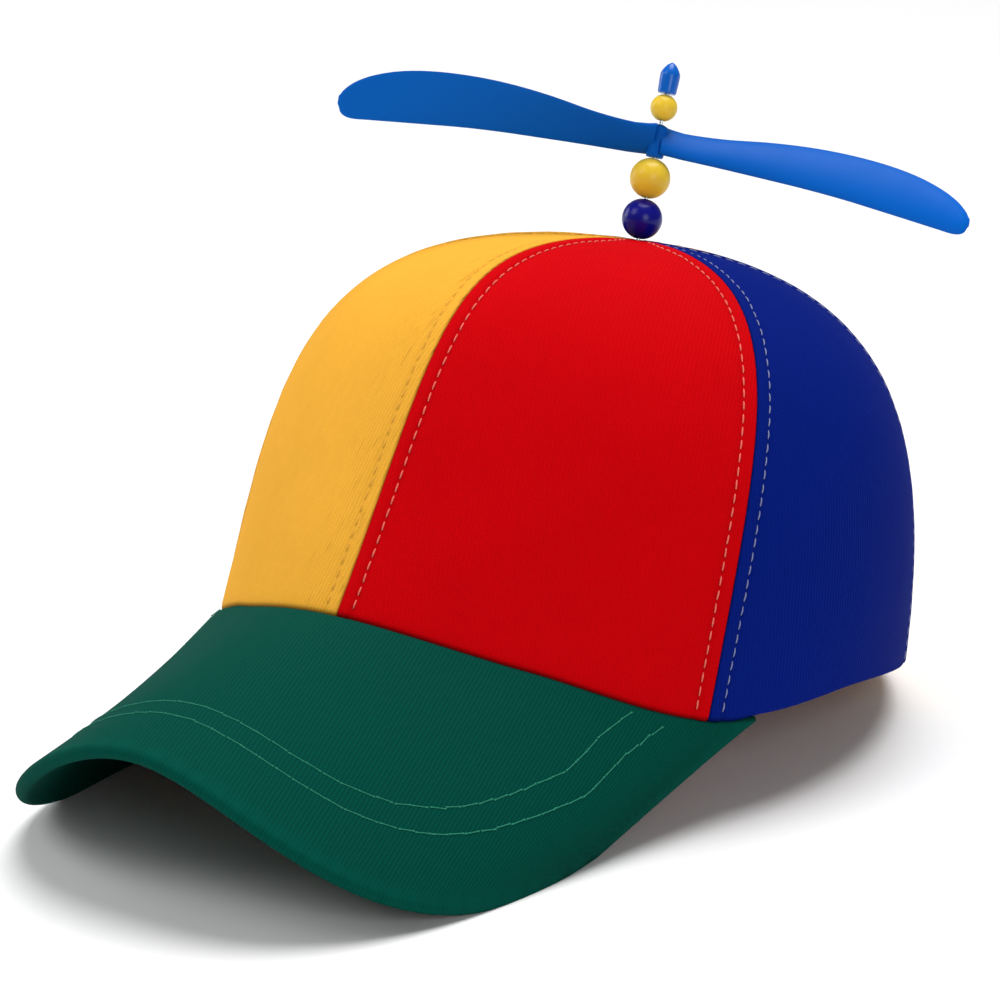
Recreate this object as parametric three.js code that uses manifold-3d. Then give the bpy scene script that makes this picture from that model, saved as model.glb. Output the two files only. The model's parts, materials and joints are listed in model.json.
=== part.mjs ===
// A propeller cap: six cloth panels, a curved peak, a back strap, and a beaded wire that carries
// a spinning propeller. Millimetres and degrees, +Z up, the peak towards -Y and the wearer's left
// at +X. It rests on the peak's two side edges and the crown's rear edge.
import * as THREE from 'three';
import Module from 'manifold-3d';
import { mergeVertices } from 'three/addons/utils/BufferGeometryUtils.js';

const wasm = await Module();
wasm.setup();

// Crown
const crownLength = 204;
const crownWidth = 168;
const crownHeight = 104;
const apexBack = 5.6;
const clothWall = 1.6;
const seamGap = 0.3;
const seamDip = 0.8;

// Where the side seams stand, as turns from the front at the base and at the top
const sideSeamBase = 58;
const rearSeamBase = 121;
const sideSeamTop = 70;

// Back opening and strap
const openingWidth = 72;
const openingHeight = 42;
const strapHeight = 19;
const strapWall = 1.8;
const strapLap = 13;
const strapRise = 1.5;

// Peak
const peakReach = 71.2;
const peakHalfWidth = 65.1;
const peakSideLength = 43;
const peakWall = 3.6;
const rimBulge = 1.4;
const peakTurn = 66;
const peakSlope = 15.3;
const peakArch = 46.1;
const noseDrop = 26.3;
const outlinePower = 2.5;
const archRound = 1.05;

// Beaded wire and propeller
const stackLean = 7;
const wireRadius = 0.5;
const footRadius = 6;
const footThickness = 1.2;
const beadDiameter = 10.5;
const smallBeadDiameter = 7;
const tipDiameter = 5.2;
const tipLength = 8.2;
const wireGrip = 4.5;
const hubDiameter = 4.6;
const hubHeight = 8.6;
const hubPlay = 1;
const propellerRadius = 83;
const bladeWidth = 16;
const bladeThickness = 1.8;
const bladePitch = 48;
const bladeTwist = 11;
const bladeDroop = 2.2;
const propellerTurn = 33;

// Clearances
const seatGap = 0.3;
const boreClearance = 0.35;
const clothHoleClearance = 1.2;

// Base ring: how far it reaches and how high its edge rises, by turn from the front. Reach is a
// share of the plain ellipse, rise a share of the crown's height.
const baseRing = [
  { turn: 0, reach: 1.06, rise: 0.12 },
  { turn: 30, reach: 1.001, rise: 0.058 },
  { turn: 60, reach: 1.016, rise: -0.021 },
  { turn: 90, reach: 0.999, rise: 0.044 },
  { turn: 120, reach: 0.972, rise: 0.035 },
  { turn: 150, reach: 0.981, rise: -0.005 },
  { turn: 180, reach: 0.982, rise: 0 },
];

// Rising line of the crown at its front, side and back. Lean is how far it has come in, and
// shoulder how far it has gone up, at its first control point; flat is its reach at the last one.
const risingLine = {
  front: { lean: 0.269, shoulder: 0.755, flat: 0.804 },
  side: { lean: -0.02, shoulder: 0.621, flat: 0.897 },
  back: { lean: 0.1, shoulder: 0.5, flat: 0.54 },
};

// Blade outline by share of the propeller's radius: its two edges as shares of the blade's width
const bladeSections = [
  { along: 0.015, lower: -0.28, upper: 0.34 },
  { along: 0.06, lower: -0.31, upper: 0.28 },
  { along: 0.2, lower: -0.33, upper: 0.33 },
  { along: 0.35, lower: -0.35, upper: 0.47 },
  { along: 0.48, lower: -0.365, upper: 0.55 },
  { along: 0.6, lower: -0.395, upper: 0.57 },
  { along: 0.72, lower: -0.445, upper: 0.535 },
  { along: 0.82, lower: -0.485, upper: 0.445 },
  { along: 0.9, lower: -0.515, upper: 0.3 },
  { along: 0.955, lower: -0.55, upper: 0.125 },
  { along: 0.985, lower: -0.51, upper: -0.055 },
  { along: 1, lower: -0.36, upper: -0.225 },
];
const bladeEdgeShare = 0.17;

// Outline of the hub and of the tip cap, from the bottom up: radius as a share of the piece's
// own, height as a share of its length
const hubOutline = [
  { radius: 0, height: 0 },
  { radius: 1, height: 0 },
  { radius: 1, height: 0.14 },
  { radius: 0.84, height: 0.36 },
  { radius: 0.84, height: 0.62 },
  { radius: 1, height: 0.8 },
  { radius: 0.82, height: 0.95 },
  { radius: 0.45, height: 1 },
  { radius: 0, height: 1 },
];
const tipOutline = [
  { radius: 0.86, height: 0 },
  { radius: 0.94, height: 0.04 },
  { radius: 1, height: 0.25 },
  { radius: 1, height: 0.62 },
  { radius: 0.72, height: 0.83 },
  { radius: 0.3, height: 0.97 },
  { radius: 0, height: 1 },
];

const colours = {
  red: 0xb80812,
  yellow: 0xf0ab3c,
  blue: 0x101c6e,
  green: 0x04533f,
  propellerBlue: 0x0a55c4,
  beadNavy: 0x140a5c,
  beadYellow: 0xd8b23c,
  steel: 0xb4b6b8,
};

const panelColumns = 8;
const panelRows = 13;
const archColumns = 5;
const peakColumns = 26;
const peakRows = 7;
const strapColumns = 14;
const strapRows = 3;
const bladePoints = 12;
const beadSteps = 10;
const roundSides = 14;
const wireSides = 12;
const searchEnd = 1e-6;

const radians = (degrees) => THREE.MathUtils.degToRad(degrees);
const degrees = (angle) => THREE.MathUtils.radToDeg(angle);
const mix = THREE.MathUtils.lerp;

// A smooth value between the rows of a table, level at both ends
function smoothValue(rows, place, column, at) {
  const last = rows.length - 1;
  const clamped = THREE.MathUtils.clamp(at, rows[0][place], rows[last][place]);
  let i = 0;
  while (i < last - 1 && clamped > rows[i + 1][place]) {
    i += 1;
  }
  const slopeAt = (k) => {
    if (k === 0 || k === last) {
      return 0;
    }
    const run = rows[k + 1][place] - rows[k - 1][place];
    return (rows[k + 1][column] - rows[k - 1][column]) / run;
  };
  const span = rows[i + 1][place] - rows[i][place];
  const t = (clamped - rows[i][place]) / span;
  const start = rows[i][column];
  const end = rows[i + 1][column];
  const pull = (1 - t) * slopeAt(i) - t * slopeAt(i + 1);
  const easing = t * t * (3 - 2 * t);
  return mix(start, end, easing) + t * (1 - t) * span * pull;
}

function aroundTurn(turn) {
  return Math.abs(THREE.MathUtils.euclideanModulo(turn + 180, 360) - 180);
}

// Height of the crown's lower edge at a turn from the front
function baseHeight(turn) {
  return crownHeight * smoothValue(baseRing, 'turn', 'rise', aroundTurn(turn));
}

// A point of the crown's outer face: turn in degrees from the front, climb from 0 at the lower
// edge to 1 at the apex
function crownPoint(turn, climb) {
  const angle = radians(turn);
  const frontShare = Math.max(Math.cos(angle), 0) ** 2;
  const sideShare = Math.sin(angle) ** 2;
  const backShare = Math.max(-Math.cos(angle), 0) ** 2;
  const blend = (key) => risingLine.front[key] * frontShare
    + risingLine.side[key] * sideShare + risingLine.back[key] * backShare;
  const reach = smoothValue(baseRing, 'turn', 'reach', aroundTurn(turn));
  const nearBase = 3 * (1 - climb) ** 2 * climb;
  const nearTop = 3 * (1 - climb) * climb ** 2;
  const spread = (1 - climb) ** 3 + nearBase * (1 - blend('lean')) + nearTop * blend('flat');
  const lift = nearBase * blend('shoulder') + nearTop + climb ** 3;
  const edge = baseHeight(turn);
  return new THREE.Vector3(
    (crownWidth / 2) * reach * Math.sin(angle) * spread,
    -(crownLength / 2) * reach * Math.cos(angle) * spread + apexBack * (1 - spread),
    edge + (crownHeight - edge) * lift,
  );
}

// Direction up the rising line, outward normal, and millimetres to a degree of turn
function crownFrame(turn, climb) {
  const turnStep = 0.05;
  const climbStep = 0.0005;
  const low = Math.max(climb - climbStep, 0);
  const around = crownPoint(turn + turnStep, climb).sub(crownPoint(turn - turnStep, climb));
  const up = crownPoint(turn, climb + climbStep).sub(crownPoint(turn, low)).normalize();
  const perDegree = around.length() / (2 * turnStep);
  const normal = new THREE.Vector3().crossVectors(around, up).normalize();
  return { up, normal, perDegree };
}

// The value between two limits up to which a test still holds
function lastWhere(from, to, holds) {
  let low = from;
  let high = to;
  while (high - low > searchEnd) {
    const middle = (low + high) / 2;
    if (holds(middle)) {
      low = middle;
    } else {
      high = middle;
    }
  }
  return (low + high) / 2;
}

// The climb at which the crown reaches a height above its lower edge
function climbAtHeight(turn, height) {
  const top = baseHeight(turn) + height;
  return lastWhere(0, 1, (climb) => crownPoint(turn, climb).z < top);
}

// The climb at which the crown comes within a radius of its apex
function climbAtRadius(turn, radius) {
  return lastWhere(0.5, 1, (climb) => {
    const point = crownPoint(turn, climb);
    return Math.hypot(point.x, point.y - apexBack) > radius;
  });
}

// Turns a list of points and triangles into a geometry whose faces point outwards
function bodyGeometry(points, triangles) {
  let volume = 0;
  for (const [a, b, c] of triangles) {
    volume += points[a].dot(new THREE.Vector3().crossVectors(points[b], points[c]));
  }
  const facing = volume > 0 ? triangles : triangles.map(([a, b, c]) => [a, c, b]);
  const geometry = new THREE.BufferGeometry();
  const positions = points.flatMap((point) => [point.x, point.y, point.z]);
  geometry.setAttribute('position', new THREE.Float32BufferAttribute(positions, 3));
  geometry.setIndex(facing.flat());
  geometry.computeVertexNormals();
  return geometry;
}

// A wall between two grids of points, closed round its border through any rings between them
function wallGeometry(outer, inner, rings = []) {
  const columns = outer.length;
  const rows = outer[0].length;
  const border = [];
  for (let i = 0; i < columns - 1; i += 1) {
    border.push([i, 0]);
  }
  for (let j = 0; j < rows - 1; j += 1) {
    border.push([columns - 1, j]);
  }
  for (let i = columns - 1; i > 0; i -= 1) {
    border.push([i, rows - 1]);
  }
  for (let j = rows - 1; j > 0; j -= 1) {
    border.push([0, j]);
  }
  const points = [...outer.flat(), ...inner.flat()];
  const triangles = [];
  const face = (start, flip) => {
    for (let i = 0; i < columns - 1; i += 1) {
      for (let j = 0; j < rows - 1; j += 1) {
        const a = start + i * rows + j;
        const b = a + rows;
        if (flip) {
          triangles.push([a, a + 1, b + 1], [a, b + 1, b]);
        } else {
          triangles.push([a, b + 1, a + 1], [a, b, b + 1]);
        }
      }
    }
  };
  face(0, false);
  face(columns * rows, true);
  const loops = [border.map(([i, j]) => i * rows + j)];
  for (const ring of rings) {
    loops.push(border.map(([i, j]) => points.push(ring(i, j)) - 1));
  }
  loops.push(border.map(([i, j]) => columns * rows + i * rows + j));
  for (let k = 0; k < loops.length - 1; k += 1) {
    for (let n = 0; n < border.length; n += 1) {
      const next = (n + 1) % border.length;
      triangles.push([loops[k][n], loops[k + 1][n], loops[k + 1][next]]);
      triangles.push([loops[k][n], loops[k + 1][next], loops[k][next]]);
    }
  }
  return bodyGeometry(points, triangles);
}

// A solid through a list of closed sections with equal numbers of points
function loftGeometry(sections) {
  const count = sections[0].length;
  const points = sections.flat();
  const triangles = [];
  for (let i = 0; i < sections.length - 1; i += 1) {
    for (let n = 0; n < count; n += 1) {
      const next = (n + 1) % count;
      const a = i * count;
      const b = a + count;
      triangles.push([a + n, a + next, b + next], [a + n, b + next, b + n]);
    }
  }
  const ends = [0, sections.length - 1];
  for (const end of ends) {
    const middle = new THREE.Vector3();
    sections[end].forEach((point) => middle.add(point));
    const centre = points.push(middle.divideScalar(count)) - 1;
    for (let n = 0; n < count; n += 1) {
      const a = end * count + n;
      const b = end * count + ((n + 1) % count);
      triangles.push(end === 0 ? [centre, b, a] : [centre, a, b]);
    }
  }
  return bodyGeometry(points, triangles);
}

function finish(colour, roughness, metalness = 0) {
  return new THREE.MeshStandardMaterial({ color: colour, roughness, metalness });
}

function node(name, geometry, material) {
  const mesh = new THREE.Mesh(geometry, material);
  mesh.name = name;
  return mesh;
}

// Crown panels. A panel lies between two seams, each of which swings from its base turn to its
// top turn as it climbs. A back panel's lower edge follows the arched opening.
const seams = {
  front: { base: 0, top: 0 },
  side: { base: sideSeamBase, top: sideSeamTop },
  rear: { base: rearSeamBase, top: 180 - sideSeamTop },
  back: { base: 180, top: 180 },
};
const backReach = (crownLength / 2) * baseRing[baseRing.length - 1].reach;
const openingTurn = degrees(openingWidth / 2 / backReach);
const clothHoleRadius = wireRadius + clothHoleClearance;

function panelColumnsBetween(from, to) {
  const columns = [];
  const plainEnd = to === seams.back ? to.base - openingTurn : to.base;
  for (let i = 0; i <= panelColumns; i += 1) {
    columns.push({ turn: mix(from.base, plainEnd, i / panelColumns), height: 0 });
  }
  if (to === seams.back) {
    for (let i = 1; i <= archColumns; i += 1) {
      const swing = radians((90 * i) / archColumns);
      const turn = to.base - openingTurn * Math.cos(swing);
      columns.push({ turn, height: openingHeight * Math.sin(swing) });
    }
  }
  return columns;
}

function panelGeometry(from, to, hand) {
  const columns = panelColumnsBetween(from, to);
  const outer = [];
  const inner = [];
  columns.forEach((column, i) => {
    const share = (column.turn - from.base) / (to.base - from.base);
    const lowClimb = climbAtHeight(column.turn, column.height);
    const outerColumn = [];
    const innerColumn = [];
    for (let j = 0; j <= panelRows; j += 1) {
      const seamTurn = (climb) => mix(
        mix(from.base, from.top, climb),
        mix(to.base, to.top, climb),
        share,
      );
      const topClimb = climbAtRadius(seamTurn(1), clothHoleRadius);
      const climb = mix(lowClimb, topClimb, j / panelRows);
      const plainTurn = seamTurn(climb);
      const atFirst = i === 0 ? 1 : 0;
      const atLast = i === columns.length - 1 ? 1 : 0;
      const inward = ((atFirst - atLast) * seamGap) / 2;
      const turn = plainTurn + inward / crownFrame(plainTurn, climb).perDegree;
      const { normal } = crownFrame(turn, climb);
      const dip = (atFirst + atLast) * seamDip * Math.sin(Math.PI * climb);
      const point = crownPoint(turn, climb).addScaledVector(normal, -dip);
      outerColumn.push(point);
      innerColumn.push(point.clone().addScaledVector(normal, -clothWall));
    }
    outer.push(outerColumn);
    inner.push(innerColumn);
  });
  const side = new THREE.Vector3(hand, 1, 1);
  [...outer.flat(), ...inner.flat()].forEach((point) => point.multiply(side));
  return wallGeometry(outer, inner);
}

function crownPanels() {
  const left = 1;
  const right = -1;
  return [
    ['panel_front_left', seams.front, seams.side, left, colours.red],
    ['panel_front_right', seams.front, seams.side, right, colours.yellow],
    ['panel_side_left', seams.side, seams.rear, left, colours.blue],
    ['panel_side_right', seams.side, seams.rear, right, colours.blue],
    ['panel_back_left', seams.rear, seams.back, left, colours.yellow],
    ['panel_back_right', seams.rear, seams.back, right, colours.red],
  ].map(([name, from, to, hand, colour]) => (
    node(name, panelGeometry(from, to, hand), finish(colour, 0.9))
  ));
}

// Peak: a ruled sheet from under the crown's front edge out to a rounded nose, arched side to
// side, with a rounded rim
const noseY = crownPoint(0, 0).y - peakReach;
const noseZ = crownPoint(0, 0).z - noseDrop;
const peakSideY = crownPoint(peakTurn, 0).y - peakSideLength;

// Share of the arch's drop at a share of the half width: round in the middle, straighter outside
function archShare(width) {
  const fall = (share) => Math.hypot(1, share / archRound) - 1;
  return fall(width) / fall(1);
}

function peakOuterPoint(across) {
  const swing = (Math.PI / 2) * Math.abs(across);
  const x = peakHalfWidth * Math.sin(swing) ** (2 / outlinePower);
  const y = mix(peakSideY, noseY, Math.cos(swing) ** (2 / outlinePower));
  const arch = peakArch * archShare(x / peakHalfWidth);
  const z = noseZ - arch + (y - noseY) * Math.tan(radians(peakSlope));
  return new THREE.Vector3(Math.sign(across) * x, y, z);
}

function peakInnerPoint(across, depth) {
  const turn = peakTurn * across;
  const { up, normal } = crownFrame(turn, 0);
  return crownPoint(turn, 0).addScaledVector(up, -seatGap).addScaledVector(normal, -depth);
}

function peakGeometry() {
  const outward = (across, out) => peakInnerPoint(across, 0).lerp(peakOuterPoint(across), out);
  const normalAt = (across, out) => {
    const step = 0.004;
    const inside = THREE.MathUtils.clamp(across, -1 + step, 1 - step);
    const run = outward(inside + step, out).sub(outward(inside - step, out));
    const rule = outward(inside, 1).sub(outward(inside, 0));
    return new THREE.Vector3().crossVectors(rule, run).normalize();
  };
  const top = [];
  const under = [];
  for (let i = 0; i <= peakColumns; i += 1) {
    const across = (2 * i) / peakColumns - 1;
    const topColumn = [peakInnerPoint(across, clothWall)];
    const normals = [normalAt(across, 0)];
    for (let j = 0; j <= peakRows; j += 1) {
      topColumn.push(outward(across, j / peakRows));
      normals.push(normalAt(across, j / peakRows));
    }
    top.push(topColumn);
    under.push(topColumn.map((point, j) => point.clone().addScaledVector(normals[j], -peakWall)));
  }
  const rim = (i, j) => {
    const middle = top[i][j].clone().lerp(under[i][j], 0.5);
    const bulge = new THREE.Vector3();
    if (j === peakRows + 1) {
      bulge.add(top[i][j].clone().sub(top[i][j - 1]).normalize());
    }
    if (j > 1 && (i === 0 || i === peakColumns)) {
      const neighbour = i === 0 ? 1 : peakColumns - 1;
      bulge.add(top[i][j].clone().sub(top[neighbour][j]).normalize());
    }
    return middle.addScaledVector(bulge.normalize(), rimBulge);
  };
  return wallGeometry(top, under, [rim]);
}

// Strap across the back opening, lying inside the back panels
function strapGeometry() {
  const halfTurn = degrees((openingWidth / 2 + strapLap) / backReach);
  const inset = clothWall + seamDip + seatGap;
  const outer = [];
  const inner = [];
  for (let i = 0; i <= strapColumns; i += 1) {
    const turn = mix(180 - halfTurn, 180 + halfTurn, i / strapColumns);
    const outerColumn = [];
    const innerColumn = [];
    for (let j = 0; j <= strapRows; j += 1) {
      const climb = climbAtHeight(turn, strapRise + (strapHeight * j) / strapRows);
      const { normal } = crownFrame(turn, climb);
      const point = crownPoint(turn, climb).addScaledVector(normal, -inset);
      outerColumn.push(point);
      innerColumn.push(point.clone().addScaledVector(normal, -strapWall));
    }
    outer.push(outerColumn);
    inner.push(innerColumn);
  }
  return wallGeometry(outer, inner);
}

// Beaded wire. Heights are measured along the wire from the apex.
const boreRadius = wireRadius + boreClearance;

// Height over a ball's centre at which its bore comes out
function poleHeight(diameter) {
  return Math.sqrt((diameter / 2) ** 2 - boreRadius ** 2);
}

const navyCentre = seatGap + poleHeight(beadDiameter);
const yellowCentre = navyCentre + 2 * poleHeight(beadDiameter) + seatGap;
const hubBottom = yellowCentre + poleHeight(beadDiameter) + seatGap;
const smallCentre = hubBottom + hubHeight + hubPlay + poleHeight(smallBeadDiameter);
const tipBottom = smallCentre + poleHeight(smallBeadDiameter) + seatGap;

function beadGeometry(diameter, centre) {
  const start = Math.asin(boreRadius / (diameter / 2));
  const profile = [];
  for (let i = 0; i <= beadSteps; i += 1) {
    const angle = mix(start, Math.PI - start, i / beadSteps);
    const out = (diameter / 2) * Math.sin(angle);
    profile.push(new THREE.Vector2(out, -(diameter / 2) * Math.cos(angle)));
  }
  profile.push(profile[0].clone());
  const geometry = new THREE.LatheGeometry(profile, roundSides);
  return geometry.rotateX(Math.PI / 2).translate(0, 0, centre);
}

function turnedGeometry(rows, sides = roundSides) {
  const profile = rows.map(([radius, height]) => new THREE.Vector2(radius, height));
  return new THREE.LatheGeometry(profile, sides).rotateX(Math.PI / 2);
}

// How far the crown falls below its apex at a radius, measured along the leaning wire
function crownFall(radius) {
  const lean = radians(stackLean);
  const falls = [0, 45, 90, 135, 180].map((turn) => {
    const point = crownPoint(turn, climbAtRadius(turn, radius));
    const across = point.y - apexBack;
    return (crownHeight - point.z) * Math.cos(lean) - across * Math.sin(lean);
  });
  return Math.max(...falls);
}

const wireTop = tipBottom + wireGrip;
const footTop = -clothWall - seatGap - crownFall(footRadius);

function spindleGeometry() {
  return turnedGeometry([
    [0, footTop - footThickness],
    [footRadius, footTop - footThickness],
    [footRadius, footTop],
    [wireRadius, footTop],
    [wireRadius, wireTop],
    [0, wireTop],
  ], wireSides);
}

// A table of shares as radii and heights of a piece
function outlineRows(rows, diameter, bottom, length) {
  return rows.map((row) => [(row.radius * diameter) / 2, bottom + row.height * length]);
}

function tipGeometry() {
  return turnedGeometry([
    [boreRadius, tipBottom],
    ...outlineRows(tipOutline, tipDiameter, tipBottom, tipLength),
    [0, wireTop + seatGap],
    [boreRadius, wireTop + seatGap],
    [boreRadius, tipBottom],
  ]);
}

// Propeller: a waisted hub with a domed top, and two pitched blades half a turn apart
function bladeGeometry() {
  const sections = bladeSections.map((row) => {
    const pitch = radians(bladePitch + bladeTwist * row.along);
    const centre = hubBottom + hubHeight / 2 - bladeDroop * row.along ** 2;
    const lower = row.lower * bladeWidth;
    const upper = row.upper * bladeWidth;
    const halfWidth = (upper - lower) / 2;
    const thin = Math.min(1, halfWidth / (bladeEdgeShare * bladeWidth));
    const ring = [];
    for (let n = 0; n < bladePoints; n += 1) {
      const angle = (2 * Math.PI * n) / bladePoints;
      const chord = (lower + upper) / 2 + halfWidth * Math.cos(angle);
      const depth = (bladeThickness / 2) * thin * Math.sin(angle);
      ring.push(new THREE.Vector3(
        row.along * propellerRadius,
        chord * Math.cos(pitch) - depth * Math.sin(pitch),
        centre + chord * Math.sin(pitch) + depth * Math.cos(pitch),
      ));
    }
    return ring;
  });
  return loftGeometry(sections);
}

function manifoldOf(geometry) {
  const plain = geometry.clone();
  plain.deleteAttribute('normal');
  plain.deleteAttribute('uv');
  const merged = mergeVertices(plain, 1e-4);
  return new wasm.Manifold(new wasm.Mesh({
    numProp: 3,
    vertProperties: Float32Array.from(merged.attributes.position.array),
    triVerts: Uint32Array.from(merged.index.array),
  }));
}

function geometryOf(solid) {
  const mesh = solid.getMesh();
  const geometry = new THREE.BufferGeometry();
  geometry.setAttribute('position', new THREE.Float32BufferAttribute(mesh.vertProperties, 3));
  geometry.setIndex(Array.from(mesh.triVerts));
  geometry.computeVertexNormals();
  return geometry;
}

function propellerGeometry() {
  const hub = turnedGeometry(outlineRows(hubOutline, hubDiameter, hubBottom, hubHeight));
  const bore = turnedGeometry([
    [0, hubBottom - hubHeight],
    [boreRadius, hubBottom - hubHeight],
    [boreRadius, hubBottom + 2 * hubHeight],
    [0, hubBottom + 2 * hubHeight],
  ]);
  const blade = bladeGeometry();
  const otherBlade = blade.clone().rotateZ(Math.PI);
  const solid = manifoldOf(hub)
    .add(manifoldOf(blade))
    .add(manifoldOf(otherBlade))
    .subtract(manifoldOf(bore));
  return geometryOf(solid).rotateZ(radians(propellerTurn));
}

function beadedWire() {
  const stack = new THREE.Group();
  const navy = beadGeometry(beadDiameter, navyCentre);
  const yellow = beadGeometry(beadDiameter, yellowCentre);
  const small = beadGeometry(smallBeadDiameter, smallCentre);
  stack.add(
    node('spindle', spindleGeometry(), finish(colours.steel, 0.35, 1)),
    node('bead_navy', navy, finish(colours.beadNavy, 0.15)),
    node('bead_yellow', yellow, finish(colours.beadYellow, 0.25)),
    node('propeller', propellerGeometry(), finish(colours.propellerBlue, 0.35)),
    node('bead_small', small, finish(colours.beadYellow, 0.25)),
    node('tip_cap', tipGeometry(), finish(colours.propellerBlue, 0.3)),
  );
  stack.position.set(0, apexBack, crownHeight);
  stack.rotation.x = -radians(stackLean);
  return stack;
}

// The lean at which the cap stands on both its peak and its rear edge
function restingLean(body) {
  body.updateMatrixWorld(true);
  const points = [];
  body.traverse((piece) => {
    if (piece.isMesh) {
      const places = piece.geometry.attributes.position;
      for (let i = 0; i < places.count; i += 1) {
        points.push(new THREE.Vector3().fromBufferAttribute(places, i)
          .applyMatrix4(piece.matrixWorld));
      }
    }
  });
  const lowest = (lean, side) => Math.min(...points
    .filter((point) => point.y * side > 0)
    .map((point) => point.z * Math.cos(lean) - point.y * Math.sin(lean)));
  return lastWhere(0, Math.PI / 4, (lean) => lowest(lean, -1) < lowest(lean, 1));
}

const beanie = new THREE.Group();
beanie.add(
  ...crownPanels(),
  node('peak', peakGeometry(), finish(colours.green, 0.9)),
  node('back_strap', strapGeometry(), finish(colours.blue, 0.9)),
  beadedWire(),
);
beanie.rotation.x = -restingLean(beanie);
beanie.updateMatrixWorld(true);

// The origin is the middle of the underside of the whole object's box
const box = new THREE.Box3().setFromObject(beanie, true);
beanie.position.set(0, -(box.min.y + box.max.y) / 2, -box.min.z);

export default beanie;
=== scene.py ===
"""A propeller cap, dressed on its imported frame: cloth panels, a boarded peak, stitching, beads
and a moulded propeller, with a floor, lights and a camera. Lengths are metres, angles degrees.
The peak looks towards -Y and the wearer's left is +X."""

import json
import math

import bpy
import numpy as np
from bpy.props import FloatProperty, FloatVectorProperty, PointerProperty
from mathutils import Matrix, Vector, noise

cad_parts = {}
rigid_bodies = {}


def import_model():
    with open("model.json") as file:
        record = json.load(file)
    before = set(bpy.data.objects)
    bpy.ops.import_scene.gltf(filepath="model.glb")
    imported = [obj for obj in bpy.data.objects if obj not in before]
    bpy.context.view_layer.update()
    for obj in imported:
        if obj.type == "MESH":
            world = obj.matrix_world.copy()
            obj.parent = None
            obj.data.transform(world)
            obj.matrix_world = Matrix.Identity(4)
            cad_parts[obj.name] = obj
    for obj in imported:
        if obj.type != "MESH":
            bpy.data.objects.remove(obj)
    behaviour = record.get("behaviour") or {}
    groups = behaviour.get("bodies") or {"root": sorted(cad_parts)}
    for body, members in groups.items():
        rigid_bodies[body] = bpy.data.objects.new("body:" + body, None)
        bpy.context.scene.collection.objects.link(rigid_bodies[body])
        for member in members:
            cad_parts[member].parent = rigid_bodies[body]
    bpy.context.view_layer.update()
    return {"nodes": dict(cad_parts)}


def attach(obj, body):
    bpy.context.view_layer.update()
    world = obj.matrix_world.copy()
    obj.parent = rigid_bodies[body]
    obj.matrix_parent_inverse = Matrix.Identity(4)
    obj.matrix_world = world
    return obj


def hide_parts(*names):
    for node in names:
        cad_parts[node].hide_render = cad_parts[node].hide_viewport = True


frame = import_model()

bl_info = {
    "name": "Propeller Cap",
    "version": (1, 0, 0),
    "blender": (4, 5, 0),
    "location": "View3D > Sidebar > Propeller Cap",
    "description": "Builds a panelled cloth cap with a curved peak and a spinning propeller",
    "category": "Mesh",
}

MM = 0.001
NARROW_PANEL = 20 * MM
STRAP_ROW = 2.2 * MM
ROW_REACH = 2 * MM

# The camera round the point that it looks at: angles, metres, and the lens in millimetres
CAMERA = {"azimuth": 33.5881, "elevation": 15.6575, "roll": 1.2737, "distance": 0.9,
          "aim": (-0.015684, 0.0293428, 0.0554691), "lens": 126.312}

# Square lamps that look at one point, with their widths and powers, and the soft sun overhead
LAMP_AIM = (0, 0, 0.06)
LAMPS = (
    {"name": "key", "place": (-0.75, -1.0, 1.35), "width": 0.9, "power": 8},
    {"name": "fill", "place": (1.3, -0.9, 0.7), "width": 0.8, "power": 7.5},
    {"name": "side", "place": (-1.2, -0.1, 0.45), "width": 0.6, "power": 4},
)
SUN = {"way": (0.04, -0.3, -1), "power": 3.15, "spread": 42}
WORLD_GLOW = 0.17

# Base ring of the crown by turn from the front: reach as a share of the plain ellipse, rise of
# the lower edge as a share of the crown's height
BASE_RING = (
    {"turn": 0, "reach": 1.06, "rise": 0.12},
    {"turn": 30, "reach": 1.001, "rise": 0.058},
    {"turn": 60, "reach": 1.016, "rise": -0.021},
    {"turn": 90, "reach": 0.999, "rise": 0.044},
    {"turn": 120, "reach": 0.972, "rise": 0.035},
    {"turn": 150, "reach": 0.981, "rise": -0.005},
    {"turn": 180, "reach": 0.982, "rise": 0.0},
)

# Rising line of the crown: how far it leans in and goes up at its first control point, and how
# far it reaches at its last one
RISING_LINE = {
    "front": {"lean": 0.269, "shoulder": 0.755, "flat": 0.804},
    "side": {"lean": -0.02, "shoulder": 0.621, "flat": 0.897},
    "back": {"lean": 0.1, "shoulder": 0.5, "flat": 0.54},
}

PANELS = (
    {"name": "front_left", "first": "front", "last": "side", "hand": 1, "dye": "red"},
    {"name": "front_right", "first": "front", "last": "side", "hand": -1, "dye": "yellow"},
    {"name": "side_left", "first": "side", "last": "rear", "hand": 1, "dye": "blue"},
    {"name": "side_right", "first": "side", "last": "rear", "hand": -1, "dye": "blue"},
    {"name": "back_left", "first": "rear", "last": "back", "hand": 1, "dye": "yellow"},
    {"name": "back_right", "first": "rear", "last": "back", "hand": -1, "dye": "red"},
)

# Blade outline by share of the propeller's radius: its two edges as shares of the blade's width
BLADE_ROWS = (
    {"along": 0.015, "lower": -0.28, "upper": 0.34},
    {"along": 0.06, "lower": -0.31, "upper": 0.28},
    {"along": 0.2, "lower": -0.33, "upper": 0.33},
    {"along": 0.35, "lower": -0.35, "upper": 0.47},
    {"along": 0.48, "lower": -0.365, "upper": 0.55},
    {"along": 0.6, "lower": -0.395, "upper": 0.57},
    {"along": 0.72, "lower": -0.445, "upper": 0.535},
    {"along": 0.82, "lower": -0.485, "upper": 0.445},
    {"along": 0.9, "lower": -0.515, "upper": 0.3},
    {"along": 0.955, "lower": -0.525, "upper": 0.13},
    {"along": 0.985, "lower": -0.45, "upper": -0.03},
    {"along": 1.0, "lower": -0.29, "upper": -0.155},
)

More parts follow.
